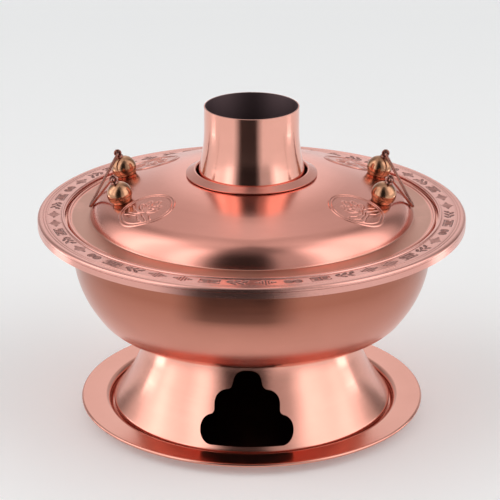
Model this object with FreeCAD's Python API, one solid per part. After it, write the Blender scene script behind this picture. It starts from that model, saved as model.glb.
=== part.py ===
import FreeCAD, Part
import math
import os

# Chimney hot pot of spun copper sheet, in millimetres, +Z up.
# Origin: centre of the drip tray's underside, on the table.  -Y is the front, where the air vent is.
# Each spun part is a profile of straight runs and tangent arcs in the radius-height plane,
# given on its visible side, thickened by its sheet and turned about Z.

# ---------------------------------------------------------------- fits
SOLDER_GAP = 0.1          # between soldered or clamped neighbours
REST_GAP = 0.3            # between pieces that only rest on each other
FOOT_PLAY = 2.6           # round the pedestal's foot, in the tray
LID_PLAY = 1.9            # round the lid, in the rim
LID_HOLE_PLAY = 0.9       # round the chimney, in the lid
SEAT_PLAY = 3.3           # round the firebox, in the pedestal's seat
STEM_PLAY = 0.1           # round an eye bolt's stem
GRATE_PLAY = 1.0          # round the grate
FLAT = 0.0                # no fillet
FILLET_SHARE = 0.98       # most of a straight run that the arcs at its ends may take

# ---------------------------------------------------------------- pedestal
PED_SHEET = 1.2
PED_FOOT_RADIUS = 112.7
PED_FOOT_BAND = 6.4       # height of the upright band at the foot
PED_HOOP_HEIGHT = 4.8     # lower part of that band, a separate hoop
PED_FOLD = 3.2            # outer radius of the folds at the foot and the seat
PED_HEIGHT = 76.4
PED_FLARE_RADIUS = 99.8
PED_FLARE_RISE = 23.0     # above the foot
PED_FLARE_CORNER = 120.0
PED_WAIST_RISE = 59.5     # above the foot
PED_WAIST_CORNER = 55.0
PED_SEAT_WIDTH = 9.5      # inward flange under the bowl
PED_TURN = 2.2            # the vent sits this many degrees left of the front

VENT_HALF_WIDTH = 36.4
VENT_WAIST_HALF = 25.6
VENT_NECK_HALF = 12.3
VENT_CROWN_HALF = 9.0
VENT_SILL_RISE = 9.3      # heights above the foot
VENT_LOBE_RISE = 26.7
VENT_WAIST_RISE = 30.0
VENT_MID_RISE = 45.5
VENT_NECK_RISE = 48.5
VENT_CROWN_RISE = 62.1
VENT_RADII = (8.5, 11.0, 4.0, 11.0, 4.5, 9.0)   # round the corners, from the sill to the crown

# ---------------------------------------------------------------- drip tray
TRAY_SHEET = 1.2
TRAY_WELL_CORNER = 3.5
TRAY_WALL_HEIGHT = 4.4    # of the well alone, up to the flange's neck
TRAY_FLANGE_WIDTH = 22.6
TRAY_FLANGE_INNER_Z = 9.2
TRAY_FLANGE_OUTER_Z = 10.0
TRAY_BEAD = 1.4           # radius of the rolled edge

# ---------------------------------------------------------------- firebox and chimney
TUBE_SHEET = 1.2
FIREBOX_RADIUS = 70.0
FIREBOX_DROP = 6.0        # how far it hangs below the bowl's bottom
FIREBOX_SEAM_RISE = 26.0  # top of the straight drum above the bowl's bottom
FIREBOX_SHOULDER_RISE = 38.0
FIREBOX_SHOULDER_CORNER = 30.0
FIREBOX_CONE_HEIGHT = 40.0
FIREBOX_NECK_CORNER = 14.0
SLEEVE_LENGTH = 10.0      # slip joint of the chimney in the firebox neck
CHIMNEY_RADIUS = 37.4
CHIMNEY_FLARE = 0.223     # growth of radius per millimetre going down
CHIMNEY_FLARE_HEIGHT = 66.0
CHIMNEY_MOUTH_HEIGHT = 31.0
CHIMNEY_BEND_CORNER = 120.0
GRATE_THICKNESS = 4.0
GRATE_RISE = 9.5          # underside of the grate above the bowl's bottom
GRATE_RING = 7.0
GRATE_BAR = 5.0
GRATE_SLOT = 7.0
LUG_COUNT = 4
LUG_WIDTH = 10.0
LUG_REACH = 8.0
LUG_THICKNESS = 2.5
LUG_TAB_HEIGHT = 9.0

# ---------------------------------------------------------------- bowl and rim
BOWL_SHEET = 1.2
BOWL_COLLAR_HEIGHT = 8.0  # upturned neck round the firebox
BOWL_COLLAR_CORNER = 3.0
BOWL_HEEL_RADIUS = 118.6
BOWL_HEEL_CORNER = 22.0
BOWL_BELLY_RADIUS = 139.6
BOWL_BELLY_RISE = 30.0    # above the flat bottom
BOWL_BELLY_CORNER = 80.0
BOWL_DEPTH = 83.4         # from the flat bottom to the ledge that carries the lid
BOWL_TOP_BAND = 3.0       # height of the upright band at the top of the wall
BOWL_TOP_CORNER = 20.0
LEDGE_WIDTH = 3.7
LEDGE_CORNER = 1.6
LEDGE_LIP_WIDTH = 10.0    # flat lip under the rim ring
RIM_SHEET = 1.2
RIM_WIDTH = 21.6
RIM_RISE = 3.8            # top of the rim above the ledge
RIM_BEND_DEPTH = 3.0      # of the rim's rounded bend, down to the seam with its edge
RIM_LIP_DEPTH = 8.0       # of the bend and the turned-down edge together
RIM_LIP_CORNER = 2.2
RIM_BEAD = 0.9            # height of the raised rib beside the opening
RIM_BEAD_INSET = 1.8      # from the opening to the rib

# ---------------------------------------------------------------- lid
LID_SHEET = 1.2
LID_RADIUS = 146.5
LID_BEAD = 1.3
LID_FLANGE_DROP = 0.4     # from the bead's centre up to the flange's top
LID_FLANGE_WIDTH = 18.3
LID_STEP_HEIGHT = 15.2    # of the wall, from the flange up to the shoulder
LID_STEP_LEAN = 4.3       # of the wall, inward over its height
LID_STEP_CORNER = 1.3
LID_SHOULDER_CORNER = 25.0
LID_DOME_HEIGHT = 15.7    # from the shoulder up to the break
LID_SLOPE_WIDTH = 53.9    # from the shoulder in to the break
LID_BREAK_CORNER = 150.0
LID_CROWN_HEIGHT = 1.8    # from the break up to the hole
COLLAR_SHEET = 1.0
COLLAR_WIDTH = 8.0
COLLAR_DROP = 1.2         # of its neck below the crown
COLLAR_LIFT = 0.9         # of its outer edge above the crown
COLLAR_HEIGHT = 4.0
COLLAR_CORNER = 1.2

# ---------------------------------------------------------------- knobs and bails
KNOB_INSET = 21.15        # ball centre inside the dome's shoulder, across the lid
KNOB_Y = 32.0             # ball centre in front of and behind the middle
KNOB_RISE = 6.5           # ball centre above the dome
KNOB_TILT = 22.0          # outward lean of each post, in degrees
KNOB_RADIUS = 10.0
KNOB_SHEET = 1.0
KNOB_SEAM = 3.2           # the seam's distance below the ball's centre
KNOB_SEAM_STEP = 0.5      # the cup is this much smaller than the cap at the seam
CUP_FOOT_RADIUS = 6.6
CUP_DEPTH = 9.0           # from the ball's centre to below the dome, before it is trimmed
STEM_RADIUS = 1.6
STEM_TAIL = 1.2           # of the stem below its nut
BUTTON_RADIUS = 3.2
BUTTON_CORNER = 0.5
EYE_RING = 2.2            # from the pivot to the middle of the ring's wire
EYE_WIRE = 0.95
EYE_RISE = 13.4           # pivot above the ball's centre, along the post
WASHER_RADIUS = 4.2
WASHER_THICKNESS = 0.8
WASHER_PASSES = 5         # rounds that bring a washer up to the dome
WASHER_SAMPLES = 24       # places round the washer that are looked at
NUT_WIDTH = 5.5           # across flats
NUT_HEIGHT = 2.4
NUT_SIDES = 6
BAIL_WIRE = 1.15
BAIL_REACH = 39.8         # pivot line to the middle of the tip
BAIL_HEAD = 1.8           # radius of the upset end that holds the wire in its eye
BAIL_HEAD_GAP = 0.6
BAIL_REST_GAP = 0.6       # from the tip to the dome; the legs beside it come closer
BAIL_SHOULDER_GAP = 2.5   # from the eye to where the leg turns away
BAIL_BEND = 3.0
BAIL_TIP_BEND = 5.0

# ---------------------------------------------------------------- worked out, from the table up
TRAY_WELL_RADIUS = PED_FOOT_RADIUS + FOOT_PLAY
TRAY_WALL_RADIUS = TRAY_WELL_RADIUS + TRAY_SHEET
TRAY_BEAD_RADIUS = TRAY_WALL_RADIUS + TRAY_FLANGE_WIDTH - TRAY_BEAD
PED_FOOT_Z = TRAY_SHEET + REST_GAP
PED_SEAT_Z = PED_FOOT_Z + PED_HEIGHT
PED_NECK_RADIUS = FIREBOX_RADIUS + SEAT_PLAY + PED_SEAT_WIDTH
BOWL_BOTTOM_Z = PED_SEAT_Z + SOLDER_GAP
BOWL_HOLE_RADIUS = FIREBOX_RADIUS + SOLDER_GAP
FIREBOX_SEAM_Z = BOWL_BOTTOM_Z + FIREBOX_SEAM_RISE
FIREBOX_SHOULDER_Z = BOWL_BOTTOM_Z + FIREBOX_SHOULDER_RISE
FIREBOX_NECK_Z = FIREBOX_SHOULDER_Z + FIREBOX_CONE_HEIGHT
CHIMNEY_BEND_Z = FIREBOX_NECK_Z + CHIMNEY_FLARE_HEIGHT
CHIMNEY_TOP_Z = CHIMNEY_BEND_Z + CHIMNEY_MOUTH_HEIGHT
CHIMNEY_FOOT_RADIUS = CHIMNEY_RADIUS + CHIMNEY_FLARE * CHIMNEY_FLARE_HEIGHT
FIREBOX_NECK_RADIUS = CHIMNEY_FOOT_RADIUS + SOLDER_GAP + TUBE_SHEET
GRATE_RADIUS = FIREBOX_RADIUS - TUBE_SHEET - GRATE_PLAY
GRATE_Z = BOWL_BOTTOM_Z + GRATE_RISE
RIM_INNER_RADIUS = LID_RADIUS + LID_PLAY
RIM_RADIUS = RIM_INNER_RADIUS + RIM_WIDTH
LEDGE_OUTER_RADIUS = RIM_INNER_RADIUS + BOWL_SHEET
BOWL_WALL_RADIUS = LEDGE_OUTER_RADIUS - LEDGE_WIDTH
LEDGE_Z = BOWL_BOTTOM_Z + BOWL_DEPTH
LEDGE_TOP_Z = LEDGE_Z + BOWL_SHEET
RIM_TOP_Z = LEDGE_TOP_Z + RIM_RISE
LEDGE_LIP_Z = RIM_TOP_Z - RIM_SHEET - SOLDER_GAP - BOWL_SHEET
LID_BEAD_Z = LEDGE_TOP_Z + REST_GAP + LID_BEAD
LID_FLANGE_Z = LID_BEAD_Z + LID_FLANGE_DROP
LID_DOME_RADIUS = LID_RADIUS - LID_FLANGE_WIDTH
LID_SHOULDER_RADIUS = LID_DOME_RADIUS - LID_STEP_LEAN
LID_BREAK_RADIUS = LID_SHOULDER_RADIUS - LID_SLOPE_WIDTH
LID_SHOULDER_Z = LID_FLANGE_Z + LID_STEP_HEIGHT
LID_BREAK_Z = LID_SHOULDER_Z + LID_DOME_HEIGHT
LID_CROWN_Z = LID_BREAK_Z + LID_CROWN_HEIGHT
COLLAR_NECK_Z = LID_CROWN_Z - COLLAR_DROP
COLLAR_EDGE_Z = LID_CROWN_Z + COLLAR_LIFT
COLLAR_TOP_Z = COLLAR_EDGE_Z + COLLAR_HEIGHT
LID_HOLE_RADIUS = CHIMNEY_RADIUS + CHIMNEY_FLARE * (CHIMNEY_BEND_Z - COLLAR_NECK_Z) + LID_HOLE_PLAY
COLLAR_OUTER_RADIUS = LID_HOLE_RADIUS + COLLAR_WIDTH
DOME_HOLE_RADIUS = LID_HOLE_RADIUS + COLLAR_SHEET + SOLDER_GAP
DOME_SLOPE = LID_DOME_HEIGHT / LID_SLOPE_WIDTH
KNOB_X = LID_SHOULDER_RADIUS - KNOB_INSET
STEM_BORE = STEM_RADIUS + STEM_PLAY

UP = FreeCAD.Vector(0, 0, 1)
ALONG_Y = FreeCAD.Vector(0, 1, 0)
ORIGIN = FreeCAD.Vector(0, 0, 0)


# ---------------------------------------------------------------- profiles
def unit(start, end):
    """Direction from one 2-D point to another."""
    length = math.hypot(end[0] - start[0], end[1] - start[1])
    return ((end[0] - start[0]) / length, (end[1] - start[1]) / length)


def offset_path(path, distance):
    """Parallel of an open path of (x, y, fillet) corners, on its left side."""
    last = len(path) - 1
    result = []
    for index, (x, y, fillet) in enumerate(path):
        before = unit(path[max(index - 1, 0)], path[max(index, 1)])
        after = unit(path[min(index, last - 1)], path[min(index + 1, last)])
        spread = 1.0 + before[0] * after[0] + before[1] * after[1]
        shift_x = -(before[1] + after[1]) * distance / spread
        shift_y = (before[0] + after[0]) * distance / spread
        turn = before[0] * after[1] - before[1] * after[0]
        radius = fillet - math.copysign(distance, turn * distance)
        result.append((x + shift_x, y + shift_y, max(radius, FLAT) if fillet > FLAT else FLAT))
    return result


def corner_reaches(path):
    """Length that each corner's arc takes of its runs, shortened where two arcs would meet."""
    reaches = [0.0] * len(path)
    for index in range(1, len(path) - 1):
        before = unit(path[index - 1], path[index])
        after = unit(path[index], path[index + 1])
        cosine = before[0] * after[0] + before[1] * after[1]
        reaches[index] = path[index][2] * math.tan(math.acos(max(-1.0, min(1.0, cosine))) / 2)
    shares = [1.0] * len(path)
    for index in range(1, len(path)):
        run = math.dist(path[index - 1][:2], path[index][:2]) * FILLET_SHARE
        needed = reaches[index - 1] + reaches[index]
        if needed > run:
            shares[index - 1] = min(shares[index - 1], run / needed)
            shares[index] = min(shares[index], run / needed)
    return [reach * share for reach, share in zip(reaches, shares)]


def path_edges(path, place):
    """Straight runs and tangent arcs through (x, y, fillet) corners; place puts a 2-D point in space."""
    edges = []
    reaches = corner_reaches(path)
    start = path[0][:2]
    for index in range(1, len(path)):
        corner = path[index]
        reach = reaches[index]
        if reach == FLAT:
            edges.append(Part.makeLine(place(*start), place(*corner[:2])))
            start = corner[:2]
            continue
        before = unit(path[index - 1], corner)
        after = unit(corner, path[index + 1])
        half_turn = math.acos(before[0] * after[0] + before[1] * after[1]) / 2
        depth = reach * math.tan(half_turn / 2)
        middle = unit((0, 0), (after[0] - before[0], after[1] - before[1]))
        arc_start = (corner[0] - before[0] * reach, corner[1] - before[1] * reach)
        arc_end = (corner[0] + after[0] * reach, corner[1] + after[1] * reach)
        arc_middle = (corner[0] + middle[0] * depth, corner[1] + middle[1] * depth)
        edges.append(Part.makeLine(place(*start), place(*arc_start)))
        edges.append(Part.Arc(place(*arc_start), place(*arc_middle), place(*arc_end)).toShape())
        start = arc_end
    return edges


def in_section(radius, height):
    """A point of a turned profile, in the plane through the axis."""
    return FreeCAD.Vector(radius, 0, height)


def spin(edges):
    """Solid of revolution of a closed profile."""
    face = Part.Face(Part.Wire(Part.__sortEdges__(edges)))
    return face.revolve(ORIGIN, UP, 360)


def spun_sheet(path, thickness):
    """Turned sheet: path is its visible side, and positive thickness lies on the path's left."""
    other = offset_path(path, thickness)
    edges = path_edges(path, in_section)
    edges.append(Part.makeLine(in_section(*path[-1][:2]), in_section(*other[-1][:2])))
    edges.extend(path_edges(other, in_section))
    edges.append(Part.makeLine(in_section(*other[0][:2]), in_section(*path[0][:2])))
    return spin(edges)


def spun_block(path):
    """Turned solid of a closed outline of (radius, height, fillet) corners."""
    edges = path_edges(path, in_section)
    edges.append(Part.makeLine(in_section(*path[-1][:2]), in_section(*path[0][:2])))
    return spin(edges)


def bead(radius, height, size):
    """Rolled edge: a ring of round section about Z."""
    return Part.makeTorus(radius, size, FreeCAD.Vector(0, 0, height), UP)


# ---------------------------------------------------------------- drip tray
def drip_tray():
    """Shallow round well that catches ash and drips."""
    path = [
        (0, 0, FLAT),
        (TRAY_WALL_RADIUS, 0, TRAY_WELL_CORNER),
        (TRAY_WALL_RADIUS, TRAY_WALL_HEIGHT, FLAT),
    ]
    return spun_sheet(path, TRAY_SHEET)


def tray_flange():
    """Wide flange of the tray, with a short neck on the well's wall and a beaded edge."""
    path = [
        (TRAY_WALL_RADIUS, TRAY_WALL_HEIGHT + SOLDER_GAP, FLAT),
        (TRAY_WALL_RADIUS, TRAY_FLANGE_INNER_Z - TRAY_SHEET, TRAY_WELL_CORNER),
        (TRAY_BEAD_RADIUS, TRAY_FLANGE_OUTER_Z - TRAY_SHEET, FLAT),
    ]
    rolled = bead(TRAY_BEAD_RADIUS, TRAY_FLANGE_OUTER_Z - TRAY_BEAD, TRAY_BEAD)
    return spun_sheet(path, TRAY_SHEET).fuse(rolled).removeSplitter()


# ---------------------------------------------------------------- pedestal
def vent_outline():
    """Right half of the cloud-shaped vent, from its sill to its crown."""
    corners = [
        (VENT_HALF_WIDTH, VENT_SILL_RISE),
        (VENT_HALF_WIDTH, VENT_LOBE_RISE),
        (VENT_WAIST_HALF, VENT_WAIST_RISE),
        (VENT_WAIST_HALF, VENT_MID_RISE),
        (VENT_NECK_HALF, VENT_NECK_RISE),
        (VENT_CROWN_HALF, VENT_CROWN_RISE),
    ]
    return [(x, PED_FOOT_Z + rise, radius) for (x, rise), radius in zip(corners, VENT_RADII)]


def vent_cutter():
    """Prism through the front wall of the pedestal, in the shape of the vent."""
    right = vent_outline()
    left = [(-x, z, radius) for x, z, radius in reversed(right)]
    middle = (0, PED_FOOT_Z + VENT_SILL_RISE, FLAT)
    outline = [middle] + right + left + [middle]
    edges = path_edges(outline, in_section)
    face = Part.Face(Part.Wire(Part.__sortEdges__(edges)))
    return face.extrude(FreeCAD.Vector(0, -PED_FOOT_RADIUS - PED_SHEET, 0))


def pedestal_foot():
    """Upright hoop at the foot of the pedestal."""
    path = [(PED_FOOT_RADIUS, PED_FOOT_Z, FLAT), (PED_FOOT_RADIUS, PED_FOOT_Z + PED_HOOP_HEIGHT, FLAT)]
    return spun_sheet(path, PED_SHEET)


def pedestal():
    """Flared stand with a folded foot and the air vent."""
    path = [
        (PED_FOOT_RADIUS, PED_FOOT_Z + PED_HOOP_HEIGHT + SOLDER_GAP, FLAT),
        (PED_FOOT_RADIUS, PED_FOOT_Z + PED_FOOT_BAND, PED_FOLD),
        (PED_FLARE_RADIUS, PED_FOOT_Z + PED_FLARE_RISE, PED_FLARE_CORNER),
        (PED_NECK_RADIUS, PED_FOOT_Z + PED_WAIST_RISE, PED_WAIST_CORNER),
        (PED_NECK_RADIUS, PED_SEAT_Z - PED_FOLD - SOLDER_GAP, FLAT),
    ]
    stand = spun_sheet(path, PED_SHEET).cut(vent_cutter())
    stand.rotate(ORIGIN, UP, -PED_TURN)
    return stand


def pedestal_seat():
    """Folded ring on top of the pedestal, with an inward flange that carries the bowl."""
    path = [
        (PED_NECK_RADIUS, PED_SEAT_Z - PED_FOLD, FLAT),
        (PED_NECK_RADIUS, PED_SEAT_Z, PED_FOLD),
        (PED_NECK_RADIUS - PED_SEAT_WIDTH, PED_SEAT_Z, FLAT),
    ]
    return spun_sheet(path, PED_SHEET)


# ---------------------------------------------------------------- bowl and rim
def bowl():
    """Broth bowl: neck round the firebox, flat bottom, round belly, open top."""
    path = [
        (BOWL_HOLE_RADIUS, BOWL_BOTTOM_Z + BOWL_COLLAR_HEIGHT, FLAT),
        (BOWL_HOLE_RADIUS, BOWL_BOTTOM_Z, BOWL_COLLAR_CORNER),
        (BOWL_HEEL_RADIUS, BOWL_BOTTOM_Z, BOWL_HEEL_CORNER),
        (BOWL_BELLY_RADIUS, BOWL_BOTTOM_Z + BOWL_BELLY_RISE, BOWL_BELLY_CORNER),
        (BOWL_WALL_RADIUS, LEDGE_Z - BOWL_TOP_BAND, BOWL_TOP_CORNER),
        (BOWL_WALL_RADIUS, LEDGE_Z - SOLDER_GAP, FLAT),
    ]
    return spun_sheet(path, BOWL_SHEET)


def lid_seat():
    """Stepped ring on the bowl's top: a ledge for the lid and a flat lip under the rim."""
    path = [
        (BOWL_WALL_RADIUS - BOWL_SHEET, LEDGE_Z, FLAT),
        (LEDGE_OUTER_RADIUS, LEDGE_Z, LEDGE_CORNER),
        (LEDGE_OUTER_RADIUS, LEDGE_LIP_Z, LEDGE_CORNER),
        (LEDGE_OUTER_RADIUS + LEDGE_LIP_WIDTH, LEDGE_LIP_Z, FLAT),
    ]
    return spun_sheet(path, BOWL_SHEET)


def rim_ring():
    """Wide rim with a raised rib beside the opening and a rounded bend at its edge."""
    path = [
        (RIM_INNER_RADIUS, RIM_TOP_Z, FLAT),
        (RIM_RADIUS, RIM_TOP_Z, RIM_LIP_CORNER),
        (RIM_RADIUS, RIM_TOP_Z - RIM_BEND_DEPTH, FLAT),
    ]
    rib = bead(RIM_INNER_RADIUS + RIM_BEAD_INSET, RIM_TOP_Z, RIM_BEAD)
    return spun_sheet(path, -RIM_SHEET).fuse(rib).removeSplitter()


def rim_edge():
    """Hoop that deepens the rim's turned-down edge."""
    path = [
        (RIM_RADIUS, RIM_TOP_Z - RIM_BEND_DEPTH - SOLDER_GAP, FLAT),
        (RIM_RADIUS, RIM_TOP_Z - RIM_LIP_DEPTH, FLAT),
    ]
    return spun_sheet(path, -RIM_SHEET)


# ---------------------------------------------------------------- fire tube
def firebox():
    """Straight drum that holds the charcoal."""
    path = [(FIREBOX_RADIUS, BOWL_BOTTOM_Z - FIREBOX_DROP, FLAT), (FIREBOX_RADIUS, FIREBOX_SEAM_Z, FLAT)]
    return spun_sheet(path, TUBE_SHEET)


def firebox_cone():
    """Top of the drum, drawn in to a sleeve for the chimney."""
    slope = CHIMNEY_FLARE * SLEEVE_LENGTH
    path = [
        (FIREBOX_RADIUS, FIREBOX_SEAM_Z + SOLDER_GAP, FLAT),
        (FIREBOX_RADIUS, FIREBOX_SHOULDER_Z, FIREBOX_SHOULDER_CORNER),
        (FIREBOX_NECK_RADIUS, FIREBOX_NECK_Z, FIREBOX_NECK_CORNER),
        (FIREBOX_NECK_RADIUS - slope, FIREBOX_NECK_Z + SLEEVE_LENGTH, FLAT),
    ]
    return spun_sheet(path, TUBE_SHEET)


def chimney():
    """Upper tube that passes through the lid, straight at its mouth and flared below."""
    path = [
        (CHIMNEY_FOOT_RADIUS, FIREBOX_NECK_Z, FLAT),
        (CHIMNEY_RADIUS, CHIMNEY_BEND_Z, CHIMNEY_BEND_CORNER),
        (CHIMNEY_RADIUS, CHIMNEY_TOP_Z, FLAT),
    ]
    return spun_sheet(path, TUBE_SHEET)


def grate():
    """Round cast grate: an outer ring with parallel bars."""
    plate = Part.makeCylinder(GRATE_RADIUS, GRATE_THICKNESS, FreeCAD.Vector(0, 0, GRATE_Z))
    inner = Part.makeCylinder(GRATE_RADIUS - GRATE_RING, GRATE_THICKNESS, FreeCAD.Vector(0, 0, GRATE_Z))
    pitch = GRATE_SLOT + GRATE_BAR
    count = int((GRATE_RADIUS - GRATE_RING) / pitch)
    slots = []
    for step in range(-count, count + 1):
        corner = FreeCAD.Vector(step * pitch - GRATE_SLOT / 2, -GRATE_RADIUS, GRATE_Z)
        slots.append(Part.makeBox(GRATE_SLOT, 2 * GRATE_RADIUS, GRATE_THICKNESS, corner))
    return plate.cut(inner.common(Part.makeCompound(slots)))


def grate_lugs():
    """Angle lugs soldered inside the firebox; the grate rests on them."""
    wall = FIREBOX_RADIUS - TUBE_SHEET - SOLDER_GAP
    top = GRATE_Z - REST_GAP
    bore = Part.makeCylinder(wall, FIREBOX_SEAM_Z)
    shelf_corner = FreeCAD.Vector(wall - LUG_REACH, -LUG_WIDTH / 2, top - LUG_THICKNESS)
    shelf = Part.makeBox(LUG_REACH, LUG_WIDTH, LUG_THICKNESS, shelf_corner)
    tab_corner = FreeCAD.Vector(wall - LUG_THICKNESS, -LUG_WIDTH / 2, top - LUG_TAB_HEIGHT)
    tab = Part.makeBox(LUG_THICKNESS, LUG_WIDTH, LUG_TAB_HEIGHT, tab_corner)
    lug = shelf.fuse(tab).common(bore).removeSplitter()
    lugs = []
    for index in range(LUG_COUNT):
        copy = lug.copy()
        copy.rotate(ORIGIN, UP, (index + 0.5) * 360 / LUG_COUNT)
        lugs.append(copy)
    return Part.makeCompound(lugs)


# ---------------------------------------------------------------- lid
def dome_path():
    """Visible side of the dome, from its hole to its flange."""
    return [
        (LID_HOLE_RADIUS, LID_CROWN_Z, FLAT),
        (LID_BREAK_RADIUS, LID_BREAK_Z, LID_BREAK_CORNER),
        (LID_SHOULDER_RADIUS, LID_SHOULDER_Z, LID_SHOULDER_CORNER),
        (LID_DOME_RADIUS, LID_FLANGE_Z, LID_STEP_CORNER),
        (LID_RADIUS - LID_BEAD, LID_FLANGE_Z, FLAT),
    ]


def dome_mass(gap):
    """Cone that fills the dome's sloping run and stands a gap above it, to trim what stands there."""
    base = LID_SHOULDER_Z + gap * math.hypot(1, DOME_SLOPE)
    return Part.makeCone(LID_SHOULDER_RADIUS, LID_BREAK_RADIUS, LID_DOME_HEIGHT, UP * base)


def dome_height(radius):
    """Height of the dome's visible side on its sloping run, outside the crown."""
    return LID_BREAK_Z - DOME_SLOPE * (radius - LID_BREAK_RADIUS)


def knob_axis(side):
    """Direction of a post; side is -1 on the left and 1 on the right."""
    tilt = math.radians(KNOB_TILT)
    return FreeCAD.Vector(side * math.sin(tilt), 0, math.cos(tilt))


def knob_centre(side, end):
    """Centre of a ball; end is -1 at the front and 1 at the rear."""
    height = dome_height(math.hypot(KNOB_X, KNOB_Y)) + KNOB_RISE
    return FreeCAD.Vector(side * KNOB_X, end * KNOB_Y, height)


def along_post(side, end, distance):
    """Point on a post's axis, measured up from the ball's centre."""
    return knob_centre(side, end) + knob_axis(side) * distance


def post_cylinder(side, end, radius, low, high):
    """Cylinder on a post's axis between two heights."""
    return Part.makeCylinder(radius, high - low, along_post(side, end, low), knob_axis(side))


def lid_dome(posts):
    """Lid: gently sloping dome with a step, a flat flange, a beaded edge and four stem holes."""
    dome = spun_sheet(dome_path(), -LID_SHEET)
    rolled = bead(LID_RADIUS - LID_BEAD, LID_BEAD_Z, LID_BEAD)
    dome = dome.fuse(rolled).removeSplitter()
    dome = dome.cut(Part.makeCylinder(DOME_HOLE_RADIUS, COLLAR_TOP_Z))
    for side, end in posts:
        dome = dome.cut(post_cylinder(side, end, STEM_BORE, -CUP_DEPTH - KNOB_RADIUS, 0))
    return dome


def lid_collar():
    """Conical ring round the chimney hole, with a neck that holds it in the dome."""
    path = [
        (COLLAR_OUTER_RADIUS, COLLAR_EDGE_Z, FLAT),
        (LID_HOLE_RADIUS, COLLAR_TOP_Z, COLLAR_CORNER),
        (LID_HOLE_RADIUS, COLLAR_NECK_Z, FLAT),
    ]
    return spun_sheet(path, COLLAR_SHEET)


# ---------------------------------------------------------------- knobs
def turn_on_post(shape, side, end):
    """Lean a shape made about Z at the origin, and set it with its origin at the ball's centre."""
    shape.rotate(ORIGIN, ALONG_Y, side * KNOB_TILT)
    shape.translate(knob_centre(side, end))
    return shape


def knob_cap(side, end):
    """Upper shell of a ball, open at the seam and pierced for the stem."""
    outer = Part.makeSphere(KNOB_RADIUS)
    inner = Part.makeSphere(KNOB_RADIUS - KNOB_SHEET)
    below = Part.makeCylinder(2 * KNOB_RADIUS, KNOB_RADIUS, UP * (-KNOB_SEAM - KNOB_RADIUS))
    bore = Part.makeCylinder(STEM_BORE, 2 * KNOB_RADIUS)
    return turn_on_post(outer.cut(inner).cut(below).cut(bore), side, end)


def knob_cup(side, end):
    """Lower shell of a ball: a tapering ring whose foot is trimmed to the dome."""
    top = -KNOB_SEAM - SOLDER_GAP
    seam_radius = math.sqrt(KNOB_RADIUS ** 2 - KNOB_SEAM ** 2) - KNOB_SEAM_STEP
    path = [
        (CUP_FOOT_RADIUS - KNOB_SHEET, -CUP_DEPTH, FLAT),
        (CUP_FOOT_RADIUS, -CUP_DEPTH, FLAT),
        (seam_radius, top, FLAT),
        (seam_radius - KNOB_SHEET, top, FLAT),
    ]
    return turn_on_post(spun_block(path), side, end).cut(dome_mass(SOLDER_GAP))


def washer_top():
    """Height on a post at which a washer just clears the underside of the dome all round."""
    sheet = LID_SHEET * math.hypot(1, DOME_SLOPE)
    across = knob_axis(1).cross(ALONG_Y)
    height = -KNOB_RADIUS
    for _ in range(WASHER_PASSES):
        clearances = []
        for step in range(WASHER_SAMPLES):
            angle = 2 * math.pi * step / WASHER_SAMPLES
            rim = (across * math.cos(angle) + ALONG_Y * math.sin(angle)) * WASHER_RADIUS
            point = along_post(1, 1, height) + rim
            clearances.append(dome_height(math.hypot(point.x, point.y)) - sheet - point.z)
        height += min(clearances) - SOLDER_GAP
    return height


def ball_height(radius):
    """Height of the ball's surface above its centre at a radius from the post's axis."""
    return math.sqrt(KNOB_RADIUS ** 2 - radius ** 2)


def eye_bolt(side, end):
    """Ring on a button, with a stem that runs down through the ball, the dome and the nut."""
    button_top = EYE_RISE - EYE_RING
    stem_low = washer_top() - WASHER_THICKNESS - SOLDER_GAP - NUT_HEIGHT - STEM_TAIL
    path = [
        (0, stem_low, FLAT),
        (STEM_RADIUS, stem_low, FLAT),
        (STEM_RADIUS, ball_height(STEM_RADIUS) + SOLDER_GAP, FLAT),
        (BUTTON_RADIUS, ball_height(BUTTON_RADIUS) + SOLDER_GAP, FLAT),
        (BUTTON_RADIUS, button_top, BUTTON_CORNER),
        (0, button_top, FLAT),
    ]
    ring = Part.makeTorus(EYE_RING, EYE_WIRE, UP * EYE_RISE, ALONG_Y)
    return turn_on_post(spun_block(path).fuse(ring), side, end)


def knob_washers(posts):
    """Washers under the lid, one to a post."""
    washers = []
    for side, end in posts:
        low = washer_top() - WASHER_THICKNESS
        disc = Part.makeCylinder(WASHER_RADIUS, WASHER_THICKNESS, UP * low)
        bore = Part.makeCylinder(STEM_BORE, WASHER_THICKNESS, UP * low)
        washers.append(turn_on_post(disc.cut(bore), side, end))
    return Part.makeCompound(washers)


def knob_nuts(posts):
    """Hexagon nuts under the lid, one to a post."""
    nuts = []
    corner_radius = NUT_WIDTH / 2 / math.cos(math.pi / NUT_SIDES)
    for side, end in posts:
        low = washer_top() - WASHER_THICKNESS - SOLDER_GAP - NUT_HEIGHT
        corners = []
        for step in range(NUT_SIDES + 1):
            angle = 2 * math.pi * step / NUT_SIDES
            corner = FreeCAD.Vector(math.cos(angle), math.sin(angle), 0) * corner_radius
            corners.append(corner + UP * low)
        hexagon = Part.Face(Part.makePolygon(corners)).extrude(UP * NUT_HEIGHT)
        bore = Part.makeCylinder(STEM_BORE, NUT_HEIGHT, UP * low)
        nuts.append(turn_on_post(hexagon.cut(bore), side, end))
    return Part.makeCompound(nuts)


# ---------------------------------------------------------------- bails
def shoulder_centre():
    """Radius and height of the middle of the arc that rounds the dome's shoulder."""
    brow, corner, foot = dome_path()[1:4]
    inward = unit(brow, corner)
    down = unit(corner, foot)
    half_turn = math.acos(inward[0] * down[0] + inward[1] * down[1]) / 2
    reach = LID_SHOULDER_CORNER * math.tan(half_turn)
    radius = corner[0] - inward[0] * reach + inward[1] * LID_SHOULDER_CORNER
    height = corner[1] - inward[1] * reach - inward[0] * LID_SHOULDER_CORNER
    return radius, height


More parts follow.
